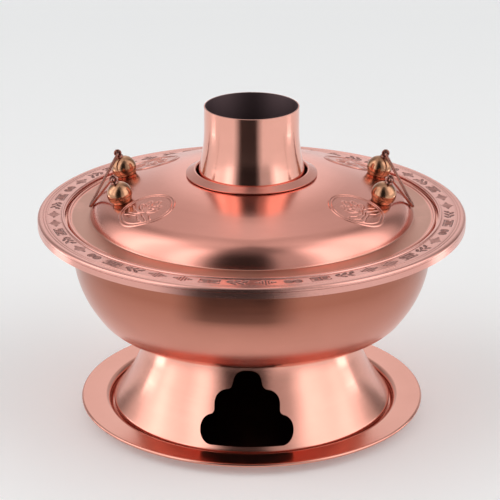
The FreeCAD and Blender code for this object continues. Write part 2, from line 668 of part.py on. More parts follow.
def bail_rest_angle():
    """Angle of a resting bail below the horizontal: its tip lies on the shoulder or on the flange."""
    centre_radius, centre_z = shoulder_centre()
    pivot = along_post(1, 1, EYE_RISE)
    run = centre_radius - pivot.x
    drop = pivot.z - centre_z
    span = math.hypot(run, drop)
    touch = LID_SHOULDER_CORNER + BAIL_WIRE + BAIL_REST_GAP
    opening = math.acos((BAIL_REACH ** 2 + span ** 2 - touch ** 2) / (2 * BAIL_REACH * span))
    on_shoulder = math.atan2(drop, run) - opening
    fall = pivot.z - BAIL_WIRE - BAIL_REST_GAP - LID_FLANGE_Z
    on_flange = math.asin(min(fall / BAIL_REACH, 1.0))
    return math.degrees(min(on_shoulder, on_flange))


def in_bail_plane(across, reach):
    """A point of a bail laid flat: across the handle and outward from its pivot line."""
    return FreeCAD.Vector(reach, across, 0)


def bail(side):
    """V-shaped wire handle with stubs through two eyes and an upset head on each end."""
    stub_end = KNOB_Y + EYE_WIRE + BAIL_HEAD_GAP + BAIL_HEAD
    shoulder = KNOB_Y - EYE_WIRE - BAIL_SHOULDER_GAP
    half_turn = math.atan2(BAIL_REACH, shoulder)
    tip = BAIL_REACH + BAIL_TIP_BEND * (1 / math.cos(half_turn) - 1)
    path = [
        (-stub_end, 0, FLAT),
        (-shoulder, 0, BAIL_BEND),
        (0, tip, BAIL_TIP_BEND),
        (shoulder, 0, BAIL_BEND),
        (stub_end, 0, FLAT),
    ]
    route = Part.Wire(path_edges(path, in_bail_plane))
    section = Part.Wire(Part.makeCircle(BAIL_WIRE, in_bail_plane(-stub_end, 0), ALONG_Y))
    wire = route.makePipeShell([section], True, False)
    heads = [Part.makeSphere(BAIL_HEAD, in_bail_plane(end * stub_end, 0)) for end in (-1, 1)]
    handle = wire.fuse(heads).removeSplitter()
    handle.rotate(ORIGIN, ALONG_Y, bail_rest_angle())
    pivot = along_post(1, 1, EYE_RISE)
    handle.translate(FreeCAD.Vector(pivot.x, 0, pivot.z))
    if side < 0:
        handle.rotate(ORIGIN, UP, 180)
    return handle


# ---------------------------------------------------------------- assembly
def build():
    """Every piece of the pot under the name of its node."""
    posts = [(side, end) for side in (-1, 1) for end in (-1, 1)]
    nodes = {
        "drip_tray": drip_tray(),
        "tray_flange": tray_flange(),
        "pedestal_foot": pedestal_foot(),
        "pedestal": pedestal(),
        "pedestal_seat": pedestal_seat(),
        "bowl": bowl(),
        "lid_seat": lid_seat(),
        "rim_ring": rim_ring(),
        "rim_edge": rim_edge(),
        "firebox": firebox(),
        "firebox_cone": firebox_cone(),
        "chimney": chimney(),
        "grate": grate(),
        "grate_lugs": grate_lugs(),
        "lid_dome": lid_dome(posts),
        "lid_collar": lid_collar(),
        "knob_washers": knob_washers(posts),
        "knob_nuts": knob_nuts(posts),
        "left_bail": bail(-1),
        "right_bail": bail(1),
    }
    for side, end in posts:
        corner = ("left" if side < 0 else "right") + ("_front" if end < 0 else "_rear")
        nodes[corner + "_knob_cap"] = knob_cap(side, end)
        nodes[corner + "_knob_cup"] = knob_cup(side, end)
        nodes[corner + "_eye_bolt"] = eye_bolt(side, end)
    return nodes


os.makedirs("parts", exist_ok=True)
for name, shape in build().items():
    shape.exportStep(os.path.join("parts", name + ".step"))
    print(name, "valid" if shape.isValid() else "INVALID", len(shape.Solids), round(shape.Volume, 1))
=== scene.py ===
"""Looks of a spun-copper chimney hot pot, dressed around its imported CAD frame.

Sizes are in millimetres in the frame's own axes: origin under the drip tray, +Z up, the air vent
towards -Y.  A piece is built at that size and scaled to Blender's metres as it is finished.
"""

from __future__ import annotations

import bisect
import logging
import math
from collections.abc import Sequence
from dataclasses import dataclass, field
from enum import Enum
from functools import cached_property

import bmesh
import bpy
from mathutils import Matrix, Vector


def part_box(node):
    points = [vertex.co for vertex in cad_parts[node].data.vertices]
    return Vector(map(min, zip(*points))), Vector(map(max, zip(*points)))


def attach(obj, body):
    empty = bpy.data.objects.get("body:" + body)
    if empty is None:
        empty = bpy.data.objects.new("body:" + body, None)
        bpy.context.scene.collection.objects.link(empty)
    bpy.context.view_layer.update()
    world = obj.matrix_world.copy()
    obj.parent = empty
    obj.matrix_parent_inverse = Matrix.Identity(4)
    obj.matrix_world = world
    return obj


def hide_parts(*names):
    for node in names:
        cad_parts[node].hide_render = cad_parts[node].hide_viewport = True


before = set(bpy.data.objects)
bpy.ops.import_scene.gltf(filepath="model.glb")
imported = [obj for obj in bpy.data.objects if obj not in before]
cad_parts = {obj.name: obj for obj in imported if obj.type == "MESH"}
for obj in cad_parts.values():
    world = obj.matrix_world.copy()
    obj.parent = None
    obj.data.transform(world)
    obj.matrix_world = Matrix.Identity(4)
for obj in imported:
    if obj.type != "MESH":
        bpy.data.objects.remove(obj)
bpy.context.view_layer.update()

LOG = logging.getLogger("hot_pot")

MM = 0.001
FULL_TURN = 2 * math.pi
TURN_STEPS = 360          # facets round a spun sheet
DOUBLINGS = 4             # a turn is spun for one sector and then doubled this many times, which is quicker
FINE_ARC = math.radians(2.5)
SMALL_ARC = math.radians(11)
SMALL_FILLET = 4.0        # arcs below this radius get wider facets
HOLD = 0.4                # support loop beside each bend, so a flat stays flat
SHARP = math.radians(40)
WELD = 0.002
EDGE_SOFTNESS = 0.22      # chamfer on a cut edge

SOLDER_GAP = 0.1
REST_GAP = 0.3
SHEET = 1.2               # every large sheet of the pot

Point = tuple[float, float]
SOOT_AND_SHADE = "soot"
PRESSED = "pressed"


class Side(Enum):
    """Which half of the lid a bail stands on."""

    LEFT = -1
    RIGHT = 1


class End(Enum):
    """Which end of a bail a knob carries."""

    FRONT = -1
    REAR = 1


# ------------------------------------------------------------------ profiles
def unit(start: Sequence[float], end: Sequence[float]) -> Point:
    """Direction from one 2-D point to another."""
    length = math.hypot(end[0] - start[0], end[1] - start[1])
    return ((end[0] - start[0]) / length, (end[1] - start[1]) / length)


def smooth_step(low: float, high: float, value: float) -> float:
    """Soft ramp from 0 at low to 1 at high."""
    share = min(1.0, max(0.0, (value - low) / (high - low)))
    return share * share * (3 - 2 * share)


@dataclass(frozen=True)
class Corner:
    """Corner of a profile and the radius of the arc that rounds it."""

    across: float
    up: float
    fillet: float = 0.0

    def __getitem__(self, index: int) -> float:
        """Coordinate by number: 0 across, 1 up."""
        return (self.across, self.up)[index]


@dataclass
class Profile:
    """Open path of straight runs and tangent arcs."""

    corners: list[Corner]

    @classmethod
    def through(cls, *corners: Sequence[float]) -> Profile:
        """Path through (across, up) or (across, up, fillet) corners."""
        return cls([Corner(*corner) for corner in corners])

    def parallel(self, distance: float) -> Profile:
        """Copy of the path shifted to its left side.

        Args:
            distance: shift; a negative one goes to the right side.

        Returns:
            The parallel path, its arcs on the same centres.
        """
        corners = self.corners
        last = len(corners) - 1
        moved = []
        for index, corner in enumerate(corners):
            before = unit(corners[max(index - 1, 0)], corners[max(index, 1)])
            after = unit(corners[min(index, last - 1)], corners[min(index + 1, last)])
            spread = 1.0 + before[0] * after[0] + before[1] * after[1]
            turn = before[0] * after[1] - before[1] * after[0]
            fillet = corner.fillet - math.copysign(distance, turn * distance)
            moved.append(Corner(
                corner.across - (before[1] + after[1]) * distance / spread,
                corner.up + (before[0] + after[0]) * distance / spread,
                max(fillet, 0.0) if corner.fillet > 0 else 0.0))
        return Profile(moved)

    def bends(self) -> list[list[Point]]:
        """Points of each corner in turn: one for a sharp corner, several round an arc."""
        corners = self.corners
        groups = [[(corners[0].across, corners[0].up)]]
        for index in range(1, len(corners) - 1):
            corner = corners[index]
            before = unit(corners[index - 1], corner)
            after = unit(corner, corners[index + 1])
            turn = math.atan2(before[0] * after[1] - before[1] * after[0],
                              before[0] * after[0] + before[1] * after[1])
            if corner.fillet == 0 or turn == 0:
                groups.append([(corner.across, corner.up)])
                continue
            side = math.copysign(1.0, turn)
            reach = corner.fillet * math.tan(abs(turn) / 2)
            centre = (corner.across - before[0] * reach - before[1] * side * corner.fillet,
                      corner.up - before[1] * reach + before[0] * side * corner.fillet)
            start = math.atan2(-before[0] * side, before[1] * side)
            count = max(3, math.ceil(abs(turn) / (SMALL_ARC if corner.fillet < SMALL_FILLET else FINE_ARC)))
            angles = [start + turn * step / count for step in range(count + 1)]
            groups.append([(centre[0] + corner.fillet * math.cos(angle),
                            centre[1] + corner.fillet * math.sin(angle)) for angle in angles])
        groups.append([(corners[-1].across, corners[-1].up)])
        return groups

    def points(self, longest: float = math.inf) -> list[Point]:
        """Points along the path, with a support point beside each bend.

        Args:
            longest: length past which a straight run is divided.

        Returns:
            The points in order.
        """
        groups = self.bends()
        result = list(groups[0])
        for group in groups[1:]:
            start, end = result[-1], group[0]
            length = math.dist(start, end)
            stops = []
            if length > 3 * HOLD:
                count = max(1, math.ceil(length / longest))
                stops = [HOLD] + [length * step / count for step in range(1, count)] + [length - HOLD]
            along = unit(start, end) if length > 0 else (0.0, 0.0)
            result += [(start[0] + along[0] * stop, start[1] + along[1] * stop) for stop in stops]
            result += group
        return result


@dataclass
class SheetSection:
    """Closed section of a sheet: its visible side, its back and the softened edges between them."""

    face: Profile
    thickness: float
    longest: float = math.inf
    soot: float = 0.0          # how sooty the back is, from 0 to 1

    @property
    def on_axis(self) -> bool:
        """Whether the sheet starts on the axis, so its section has no inner edge."""
        return self.face.corners[0].across == 0

    def outline(self) -> tuple[list[Point], list[float]]:
        """Outline points, each with 0 on the visible side and the soot's share on the back."""
        front = self.face.points(self.longest)
        back = list(reversed(self.face.parallel(self.thickness).points(self.longest)))
        points = front + back
        marks = [0.0] * len(front) + [self.soot] * len(back)
        ends = (len(front) - 1,) if self.on_axis else (len(front) - 1, len(points) - 1)
        return self.soften(points, marks, ends)

    @staticmethod
    def soften(points: list[Point], marks: list[float],
               ends: Sequence[int]) -> tuple[list[Point], list[float]]:
        """Replace the two square corners of each cut edge by small chamfers.

        Args:
            points: closed outline.
            marks: back marks of the points.
            ends: index of the first corner of each cut edge.

        Returns:
            The new outline and its marks.
        """
        corners = {index for end in ends for index in (end, (end + 1) % len(points))}
        soft_points: list[Point] = []
        soft_marks: list[float] = []
        for index, point in enumerate(points):
            if index not in corners:
                soft_points.append(point)
                soft_marks.append(marks[index])
                continue
            for neighbour in (points[index - 1], points[(index + 1) % len(points)]):
                cut = min(EDGE_SOFTNESS, math.dist(point, neighbour) / 3)
                towards = unit(point, neighbour)
                soft_points.append((point[0] + towards[0] * cut, point[1] + towards[1] * cut))
                soft_marks.append(marks[index])
        return soft_points, soft_marks


# ------------------------------------------------------------------ mesh tools
def add_turned(bm: bmesh.types.BMesh, points: Sequence[Point], marks: Sequence[float] | None = None,
               steps: int = TURN_STEPS, closed: bool = True) -> None:
    """Spin a profile of (radius, height) points about Z into a bmesh.

    Args:
        bm: mesh that receives the turned surface.
        points: profile points.
        marks: soot-and-shade mark of each point, kept round the turn.
        steps: facets in the full turn.
        closed: whether the last point joins the first.
    """
    layer = bm.verts.layers.float.get(SOOT_AND_SHADE) or bm.verts.layers.float.new(SOOT_AND_SHADE)
    sectors = 2 ** (DOUBLINGS if steps % 2 ** DOUBLINGS == 0 else 3)
    known = set(bm.faces)
    verts = [bm.verts.new((max(radius, 0.0), 0, height)) for radius, height in points]
    for vert, mark in zip(verts, marks or [0.0] * len(verts)):
        vert[layer] = mark
    pairs = list(zip(verts, verts[1:])) + ([(verts[-1], verts[0])] if closed else [])
    edges = [bm.edges.new(pair) for pair in pairs]
    angle = FULL_TURN / sectors
    bmesh.ops.spin(bm, geom=verts + edges, cent=(0, 0, 0), axis=(0, 0, 1), angle=angle,
                   steps=steps // sectors, use_merge=False, use_duplicate=False)
    while angle < FULL_TURN - WELD:
        sector = [face for face in bm.faces if face not in known]
        copied = bmesh.ops.duplicate(bm, geom=sector)["geom"]
        bmesh.ops.rotate(bm, cent=(0, 0, 0), matrix=Matrix.Rotation(angle, 3, "Z"),
                         verts=new_verts(copied))
        angle *= 2
    bmesh.ops.remove_doubles(bm, verts=bm.verts, dist=WELD)
    bmesh.ops.recalc_face_normals(bm, faces=bm.faces)


def add_bead(bm: bmesh.types.BMesh, radius: float, height: float, size: float,
             steps: int = TURN_STEPS, sides: int = 20) -> None:
    """Add a ring of round wire about Z.

    Args:
        bm: mesh that receives the ring.
        radius: radius of the wire's middle line.
        height: height of the middle line.
        size: radius of the wire.
        steps: facets round the ring.
        sides: facets round the wire.
    """
    angles = [FULL_TURN * step / sides for step in range(sides)]
    circle = [(radius + size * math.cos(a), height + size * math.sin(a)) for a in angles]
    add_turned(bm, circle, steps=steps)


def add_rod(bm: bmesh.types.BMesh, route: Sequence[Vector], radius: float, sides: int = 20) -> None:
    """Sweep a round wire along a route and close its ends.

    Args:
        bm: mesh that receives the wire.
        route: points of the wire's middle line.
        radius: wire radius.
        sides: facets round the wire.
    """
    heading = (route[1] - route[0]).normalized()
    start = Matrix.Translation(route[0]) @ heading.to_track_quat("Z", "Y").to_matrix().to_4x4()
    made = bmesh.ops.create_circle(bm, cap_ends=True, segments=sides, radius=radius, matrix=start)
    ring = list({edge for vert in made["verts"] for edge in vert.link_edges})
    last = len(route) - 1
    for index in range(1, len(route)):
        arriving = (route[index] - route[index - 1]).normalized()
        leaving = (route[min(index + 1, last)] - route[min(index, last - 1)]).normalized()
        following = (arriving + leaving).normalized()
        turn = heading.rotation_difference(following).to_matrix().to_4x4()
        extruded = bmesh.ops.extrude_edge_only(bm, edges=ring)["geom"]
        verts = new_verts(extruded)
        ends = set(verts)
        ring = [item for item in extruded if isinstance(item, bmesh.types.BMEdge)
                and ends.issuperset(item.verts)]
        move = Matrix.Translation(route[index]) @ turn @ Matrix.Translation(-route[index - 1])
        bmesh.ops.transform(bm, matrix=move, verts=verts)
        heading = following
    bmesh.ops.contextual_create(bm, geom=ring)
    bmesh.ops.recalc_face_normals(bm, faces=bm.faces)


def place(name: str, data: bpy.types.ID) -> bpy.types.Object:
    """Object of a mesh, lamp or camera, linked to the scene."""
    made = bpy.data.objects.new(name, data)
    bpy.context.collection.objects.link(made)
    return made


def place_mesh(bm: bmesh.types.BMesh, name: str) -> bpy.types.Object:
    """Object of a bmesh, which is freed."""
    mesh = bpy.data.meshes.new(name)
    bm.to_mesh(mesh)
    bm.free()
    return place(name, mesh)


def new_verts(geometry: Sequence[object]) -> list[bmesh.types.BMVert]:
    """Vertices among what an operator made."""
    return [item for item in geometry if isinstance(item, bmesh.types.BMVert)]


def finish_mesh(bm: bmesh.types.BMesh, name: str) -> bpy.types.Object:
    """Turn a bmesh in millimetres into an object in metres, smooth between its sharp edges.

    Args:
        bm: finished bmesh; it is freed.
        name: name of the object.

    Returns:
        The new object, at the origin.
    """
    bmesh.ops.scale(bm, vec=(MM, MM, MM), verts=bm.verts)
    made = place_mesh(bm, name)
    made.data.shade_smooth()
    made.data.set_sharp_from_angle(angle=SHARP)
    return made


def dress(piece: bpy.types.Object, finish: bpy.types.Material, body: str, slot: str,
          *nodes: str) -> bpy.types.Object:
    """Give a piece its finish and its body, and let it stand for CAD nodes.

    Args:
        piece: new piece.
        finish: material.
        body: body that carries the piece.
        slot: the record's material slot; not used.
        nodes: CAD nodes that the piece replaces.

    Returns:
        The same piece.
    """
    piece.data.materials.clear()
    piece.data.materials.append(finish)
    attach(piece, body)
    if nodes:
        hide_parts(*nodes)
    LOG.info("%s rides on %s, %d faces", piece.name, body, len(piece.data.polygons))
    return piece


def spun_piece(name: str, section: SheetSection, steps: int = TURN_STEPS) -> bpy.types.Object:
    """Object of one turned sheet."""
    bm = bmesh.new()
    points, marks = section.outline()
    add_turned(bm, points, marks, steps, closed=not section.on_axis)
    return finish_mesh(bm, name)


# ------------------------------------------------------------------ finishes
Colour = tuple[float, float, float]
Socket = bpy.types.NodeSocket


class NodeBench:
    """Short way to lay out shader nodes, in a material or in the world."""

    def __init__(self, owner: bpy.types.Material | bpy.types.World) -> None:
        """Clear the owner's nodes and start on them."""
        owner.use_nodes = True
        self.tree = owner.node_tree
        self.tree.nodes.clear()

    def node(self, kind: str, **settings: str) -> bpy.types.Node:
        """New node of a kind, with its settings."""
        made = self.tree.nodes.new("ShaderNode" + kind)
        for name, value in settings.items():
            setattr(made, name, value)
        return made

    def join(self, source: Socket, target: Socket) -> None:
        """Link one socket to another."""
        self.tree.links.new(source, target)

    def feed(self, target: Socket, value: Socket | float | Sequence[float]) -> None:
        """Link a socket to another, or set it to a constant."""
        if isinstance(value, bpy.types.NodeSocket):
            self.join(value, target)
        else:
            target.default_value = value

    def maths(self, operation: str, *values: Socket | float) -> Socket:
        """Output of a Math node."""
        made = self.node("Math", operation=operation)
        for target, value in zip(made.inputs, values):
            self.feed(target, value)
        return made.outputs[0]

    def times(self, first: Socket | float, second: Socket | float) -> Socket:
        """Product of two values."""
        return self.maths("MULTIPLY", first, second)

    def plus(self, first: Socket | float, *others: Socket | float) -> Socket:
        """Sum of values, added in turn."""
        for other in others:
            first = self.maths("ADD", first, other)
        return first

    def pack(self, *parts: Socket | float) -> Socket:
        """Vector put together from its three parts."""
        made = self.node("CombineXYZ")
        for target, value in zip(made.inputs, parts):
            self.feed(target, value)
        return made.outputs[0]

    def place(self, kind: str = "Object") -> tuple[Socket, Socket, Socket, Socket]:
        """Coordinates of a kind: the vector and its three parts."""
        coords = self.node("TexCoord").outputs[kind]
        parts = self.node("SeparateXYZ")
        self.join(coords, parts.inputs[0])
        return coords, parts.outputs[0], parts.outputs[1], parts.outputs[2]

    def ramp(self, value: Socket, stops: Sequence[Point]) -> Socket:
        """Output of a smooth grey ramp through (place, level) stops."""
        made = self.node("ValToRGB")
        made.color_ramp.interpolation = "EASE"
        elements = made.color_ramp.elements
        elements.remove(elements[1])
        for index, (spot, level) in enumerate(stops):
            element = elements.new(spot) if index else elements[0]
            element.position = spot
            element.color = (level, level, level, 1.0)
        self.join(value, made.inputs[0])
        return made.outputs[0]

    def attribute(self, name: str) -> Socket:
        """A float that the mesh carries on its vertices."""
        return self.node("Attribute", attribute_name=name).outputs["Fac"]

    def noise(self, vector: Socket, scale: float, detail: float = 3.0, roughness: float = 0.55,
              turn: Socket | float | None = None) -> Socket:
        """Noise between 0 and 1, with a fourth coordinate where turn is given."""
        node = self.node("TexNoise")
        if turn is not None:
            node.noise_dimensions = "4D"
            self.feed(node.inputs["W"], turn)
        self.feed(node.inputs["Vector"], vector)
        self.feed(node.inputs["Scale"], scale)
        self.feed(node.inputs["Detail"], detail)
        self.feed(node.inputs["Roughness"], roughness)
        return node.outputs["Fac"]

    def ranged(self, value: Socket, low: float, high: float, to_low: float = 0.0,
               to_high: float = 1.0) -> Socket:
        """Value stretched from one range to another and held inside it."""
        node = self.node("MapRange")
        for target, constant in zip(("Value", "From Min", "From Max", "To Min", "To Max"),
                                    (value, low, high, to_low, to_high)):
            self.feed(node.inputs[target], constant)
        return node.outputs[0]

    def blend(self, share: Socket | float, first: Socket | Colour, second: Socket | Colour) -> Socket:
        """Colour between two others."""
        node = self.node("Mix", data_type="RGBA")
        self.feed(node.inputs["Factor"], share)
        for target, value in ((node.inputs["A"], first), (node.inputs["B"], second)):
            self.feed(target, value if isinstance(value, bpy.types.NodeSocket) else (*value, 1.0))
        return node.outputs["Result"]

    def bump(self, height: Socket, distance: float, strength: float) -> Socket:
        """Normal tilted by a height."""
        node = self.node("Bump")
        self.feed(node.inputs["Height"], height)
        self.feed(node.inputs["Distance"], distance)
        self.feed(node.inputs["Strength"], strength)
        return node.outputs[0]


class MaterialBench(NodeBench):
    """Bench of one new material, with its shader joined to its output."""

    def __init__(self, name: str) -> None:
        """Start a material of this name."""
        self.material = bpy.data.materials.new(name)
        super().__init__(self.material)
        output = self.node("OutputMaterial")
        self.shader = self.node("BsdfPrincipled")
        self.join(self.shader.outputs[0], output.inputs["Surface"])

    def shade(self, **values: Socket | float | Sequence[float]) -> bpy.types.Material:
        """Feed the shader's inputs, base_color for Base Color and so on, and hand over the material."""
        for name, value in values.items():
            self.feed(self.shader.inputs[name.replace("_", " ").title()], value)
        return self.material


@dataclass(frozen=True)
class BrushedCopper:
    """Spun copper, brushed round its axis, with faint clouding, painted shade in pressed lines and towards
    the top between given heights, and a darker colour where a mesh is marked: soot on sheet backs, painted
    shade in the lid's flange corner.
    """

    name: str
    tint: Colour = (0.90, 0.425, 0.335)
    dark_tone: Colour = (0.60, 0.25, 0.18)
    roughness: float = 0.20
    grain: float = 0.09        # how far the brush lines change the roughness
    stretch: float = 0.55      # anisotropy
    line_scale: float = 420.0  # brush lines per metre
    line_depth: float = 0.00003
    clouding: float = 0.22
    # painted shade in pressed lines: its colour, and how far a fully pressed place goes towards it
    pressed_shade: Colour = (0.11, 0.04, 0.035)
    pressed_shade_share: float = 0.62
    upper_shade: Colour = (0.40, 0.135, 0.085)
    upper_shade_at: tuple[float, float] = (1.0, 2.0)  # heights in metres between which the painted shade deepens upwards
    soot: Colour = (0.05, 0.038, 0.036)
    soot_roughness: float = 0.62

    def make(self) -> bpy.types.Material:
        """Build the material.

        Returns:
            The finished node material.
        """
        bench = MaterialBench(self.name)
        coords, x, y, z = bench.place()
        radius = bench.maths("SQRT", bench.plus(bench.times(x, x), bench.times(y, y)))
        safe = bench.maths("MAXIMUM", radius, MM)
        cosine = bench.maths("DIVIDE", x, safe)
        sine = bench.maths("DIVIDE", y, safe)
        # a brush line keeps its radius and height and fades slowly round the turn
        along = bench.pack(bench.times(radius, self.line_scale), bench.times(z, self.line_scale),
                           bench.times(cosine, 1.6))
        lines = bench.noise(along, 1.0, 6.0, 0.72, bench.times(sine, 1.6))
        clouds = bench.noise(coords, 26.0, 4.0, 0.55)
        wipes = bench.noise(along, 0.09, 3.0, 0.5, bench.times(sine, 1.1))
        shade = bench.plus(bench.times(bench.ranged(clouds, 0.38, 0.72), 0.55),
                           bench.times(bench.ranged(wipes, 0.35, 0.75), 0.45))
        colour = bench.blend(bench.times(shade, self.clouding), self.tint, self.dark_tone)
        colour = bench.blend(bench.ranged(lines, 0.30, 0.72, 0.10, 0.0), colour, self.dark_tone)
        # painted shade that deepens upwards between the given heights
        colour = bench.blend(bench.ranged(z, *self.upper_shade_at, 0.0, 0.92), colour, self.upper_shade)
        # pressed places darken towards the pressed-shade colour: painted shade in the recesses
        pressed = bench.attribute(PRESSED)
        colour = bench.blend(bench.times(pressed, self.pressed_shade_share), colour, self.pressed_shade)
        # marked places take the soot-and-shade colour and roughness: soot on sheet backs, painted shade in
        # the lid's flange corner
        uneven = bench.plus(bench.attribute(SOOT_AND_SHADE), bench.ranged(clouds, 0.3, 0.7, -0.12, 0.12))
        marked = bench.ranged(uneven, 0.35, 0.75)
        rough = bench.plus(self.roughness - self.grain / 2, bench.times(lines, self.grain),
                           bench.times(shade, 0.05), bench.times(pressed, 0.18),
                           bench.times(marked, self.soot_roughness - self.roughness))
        return bench.shade(
            base_color=bench.blend(bench.times(marked, 0.93), colour, self.soot), roughness=rough,
            metallic=1.0, anisotropic=self.stretch, anisotropic_rotation=0.25,
            tangent=bench.pack(bench.times(sine, -1.0), cosine, 0.0),
            normal=bench.bump(lines, self.line_depth, 0.55))


@dataclass(frozen=True)
class PolishedCopper:
    """Small cast and drawn copper parts, polished, darker where a mesh is marked: a dark seam, and painted
    shade at a knob's foot, round its bolt and inside.
    """

    name: str
    tint: Colour = (0.66, 0.34, 0.20)
    dark_tone: Colour = (0.22, 0.10, 0.06)
    roughness: float = 0.12
    clouding: float = 0.7

    def make(self) -> bpy.types.Material:
        """Build the material."""
        bench = MaterialBench(self.name)
        coords = bench.place()[0]
        fine = bench.noise(coords, 1400.0, 3.0, 0.6)
        clouds = bench.ranged(bench.noise(coords, 150.0, 4.0, 0.6), 0.35, 0.7)
        shade = bench.times(clouds, self.clouding)
        dark = tuple(0.4 * part for part in self.dark_tone)
        colour = bench.blend(shade, self.tint, self.dark_tone)
        # marked places darken: a dark seam, and painted shade at a knob's foot, round its bolt and inside
        return bench.shade(
            base_color=bench.blend(bench.times(bench.attribute(SOOT_AND_SHADE), 0.8), colour, dark),
            roughness=bench.plus(self.roughness, bench.times(shade, 0.12), bench.times(fine, 0.05)),
            metallic=1.0, normal=bench.bump(fine, 0.00002, 0.35))


@dataclass(frozen=True)
class PlainMetal:
    """Iron and steel of the hidden fittings: cast skin or plain finish, a little uneven."""

    name: str
    tint: Colour
    stain: Colour
    roughness: float
    metallic: float
    skin_scale: float
    skin_depth: float

    def make(self) -> bpy.types.Material:
        """Build the material."""
        bench = MaterialBench(self.name)
        coords = bench.place()[0]
        skin = bench.noise(coords, self.skin_scale, 5.0, 0.62)
        patches = bench.noise(coords, self.skin_scale / 12, 3.0, 0.5)
        return bench.shade(
            base_color=bench.blend(bench.ranged(patches, 0.35, 0.7), self.tint, self.stain),
            roughness=bench.plus(self.roughness - 0.06, bench.times(skin, 0.12)),
            metallic=self.metallic, normal=bench.bump(skin, self.skin_depth, 0.6))


@dataclass
class FinishRack:
    """Every finish of the pot, made once."""

    body: bpy.types.Material = field(init=False)
    bowl: bpy.types.Material = field(init=False)
    tray: bpy.types.Material = field(init=False)
    rim: bpy.types.Material = field(init=False)
    lid: bpy.types.Material = field(init=False)
    chimney: bpy.types.Material = field(init=False)
    knob: bpy.types.Material = field(init=False)
    wire: bpy.types.Material = field(init=False)
    iron: bpy.types.Material = field(init=False)
    steel: bpy.types.Material = field(init=False)

    def __post_init__(self) -> None:
        """Make the materials."""
        self.body = BrushedCopper("copper_body").make()
        # on the bowl the painted shade deepens towards the overhanging rim
        self.bowl = BrushedCopper("copper_bowl", upper_shade_at=(0.088, 0.138)).make()
        self.tray = BrushedCopper("copper_tray", tint=(0.77, 0.36, 0.285), roughness=0.17).make()
        # the rim's pressed fret lines take deep painted shade
        self.rim = BrushedCopper("copper_rim", tint=(0.80, 0.41, 0.355), roughness=0.24, stretch=0.4,
                                 pressed_shade=(0.10, 0.032, 0.032), pressed_shade_share=0.85).make()
        # the lid's marks are painted shade in the corner of its flange, not soot; its mark colour is a darker
        # copper
        self.lid = BrushedCopper("copper_lid", tint=(0.90, 0.39, 0.315), soot=(0.54, 0.265, 0.195),
                                 soot_roughness=0.34).make()
        self.chimney = BrushedCopper("copper_chimney", tint=(0.93, 0.46, 0.37), roughness=0.12,
                                     soot=(0.11, 0.085, 0.10)).make()
        self.knob = PolishedCopper("copper_knobs").make()
        self.wire = PolishedCopper("copper_wire", tint=(0.42, 0.20, 0.16), dark_tone=(0.16, 0.07, 0.055),
                                   roughness=0.22, clouding=0.5).make()
        self.iron = PlainMetal("grate_iron", tint=(0.035, 0.033, 0.032), stain=(0.075, 0.06, 0.052),
                               roughness=0.72, metallic=0.4, skin_scale=900.0, skin_depth=0.0003).make()
        self.steel = PlainMetal("fitting_steel", tint=(0.56, 0.55, 0.54), stain=(0.42, 0.40, 0.38),
                                roughness=0.34, metallic=1.0, skin_scale=1500.0, skin_depth=0.00002).make()


# ------------------------------------------------------------------ sizes read from the frame
@dataclass(frozen=True)
class NodeSize:
    """Reach of a CAD node at rest, in millimetres."""

    node: str

    @property
    def radius(self) -> float:
        """Largest distance from the axis along X."""
        return max(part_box(self.node)[1].x, -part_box(self.node)[0].x) / MM

    @property
    def low(self) -> float:
        """Lowest point."""
        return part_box(self.node)[0].z / MM

    @property
    def high(self) -> float:
        """Highest point."""
        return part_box(self.node)[1].z / MM


# ------------------------------------------------------------------ tray and pedestal
@dataclass
class DripTray:
    """Loose tray: a shallow well and a wide beaded flange."""

    finishes: FinishRack
    corner: float = 3.5
    flange_rise: float = 0.8   # of the flange from its neck to its bead
    bead: float = 1.4

    def build(self) -> None:
        """Make the well and the flange."""
        well, flange = NodeSize("drip_tray"), NodeSize("tray_flange")
        wall = well.radius
        path = Profile.through((0, well.low), (wall, well.low, self.corner), (wall, well.high))
        piece = spun_piece("tray_well", SheetSection(path, SHEET, 14.0))
        dress(piece, self.finishes.tray, "tray", "tray_copper", "drip_tray")
        edge = flange.radius - self.bead
        under = flange.high - SHEET
        path = Profile.through((wall, flange.low), (wall, under - self.flange_rise, self.corner),
                               (edge, under))
        bm = bmesh.new()
        add_turned(bm, *SheetSection(path, SHEET, 8.0).outline())
        add_bead(bm, edge, flange.high - self.bead, self.bead)
        dress(finish_mesh(bm, "tray_flange_ring"), self.finishes.tray, "tray", "tray_copper", "tray_flange")


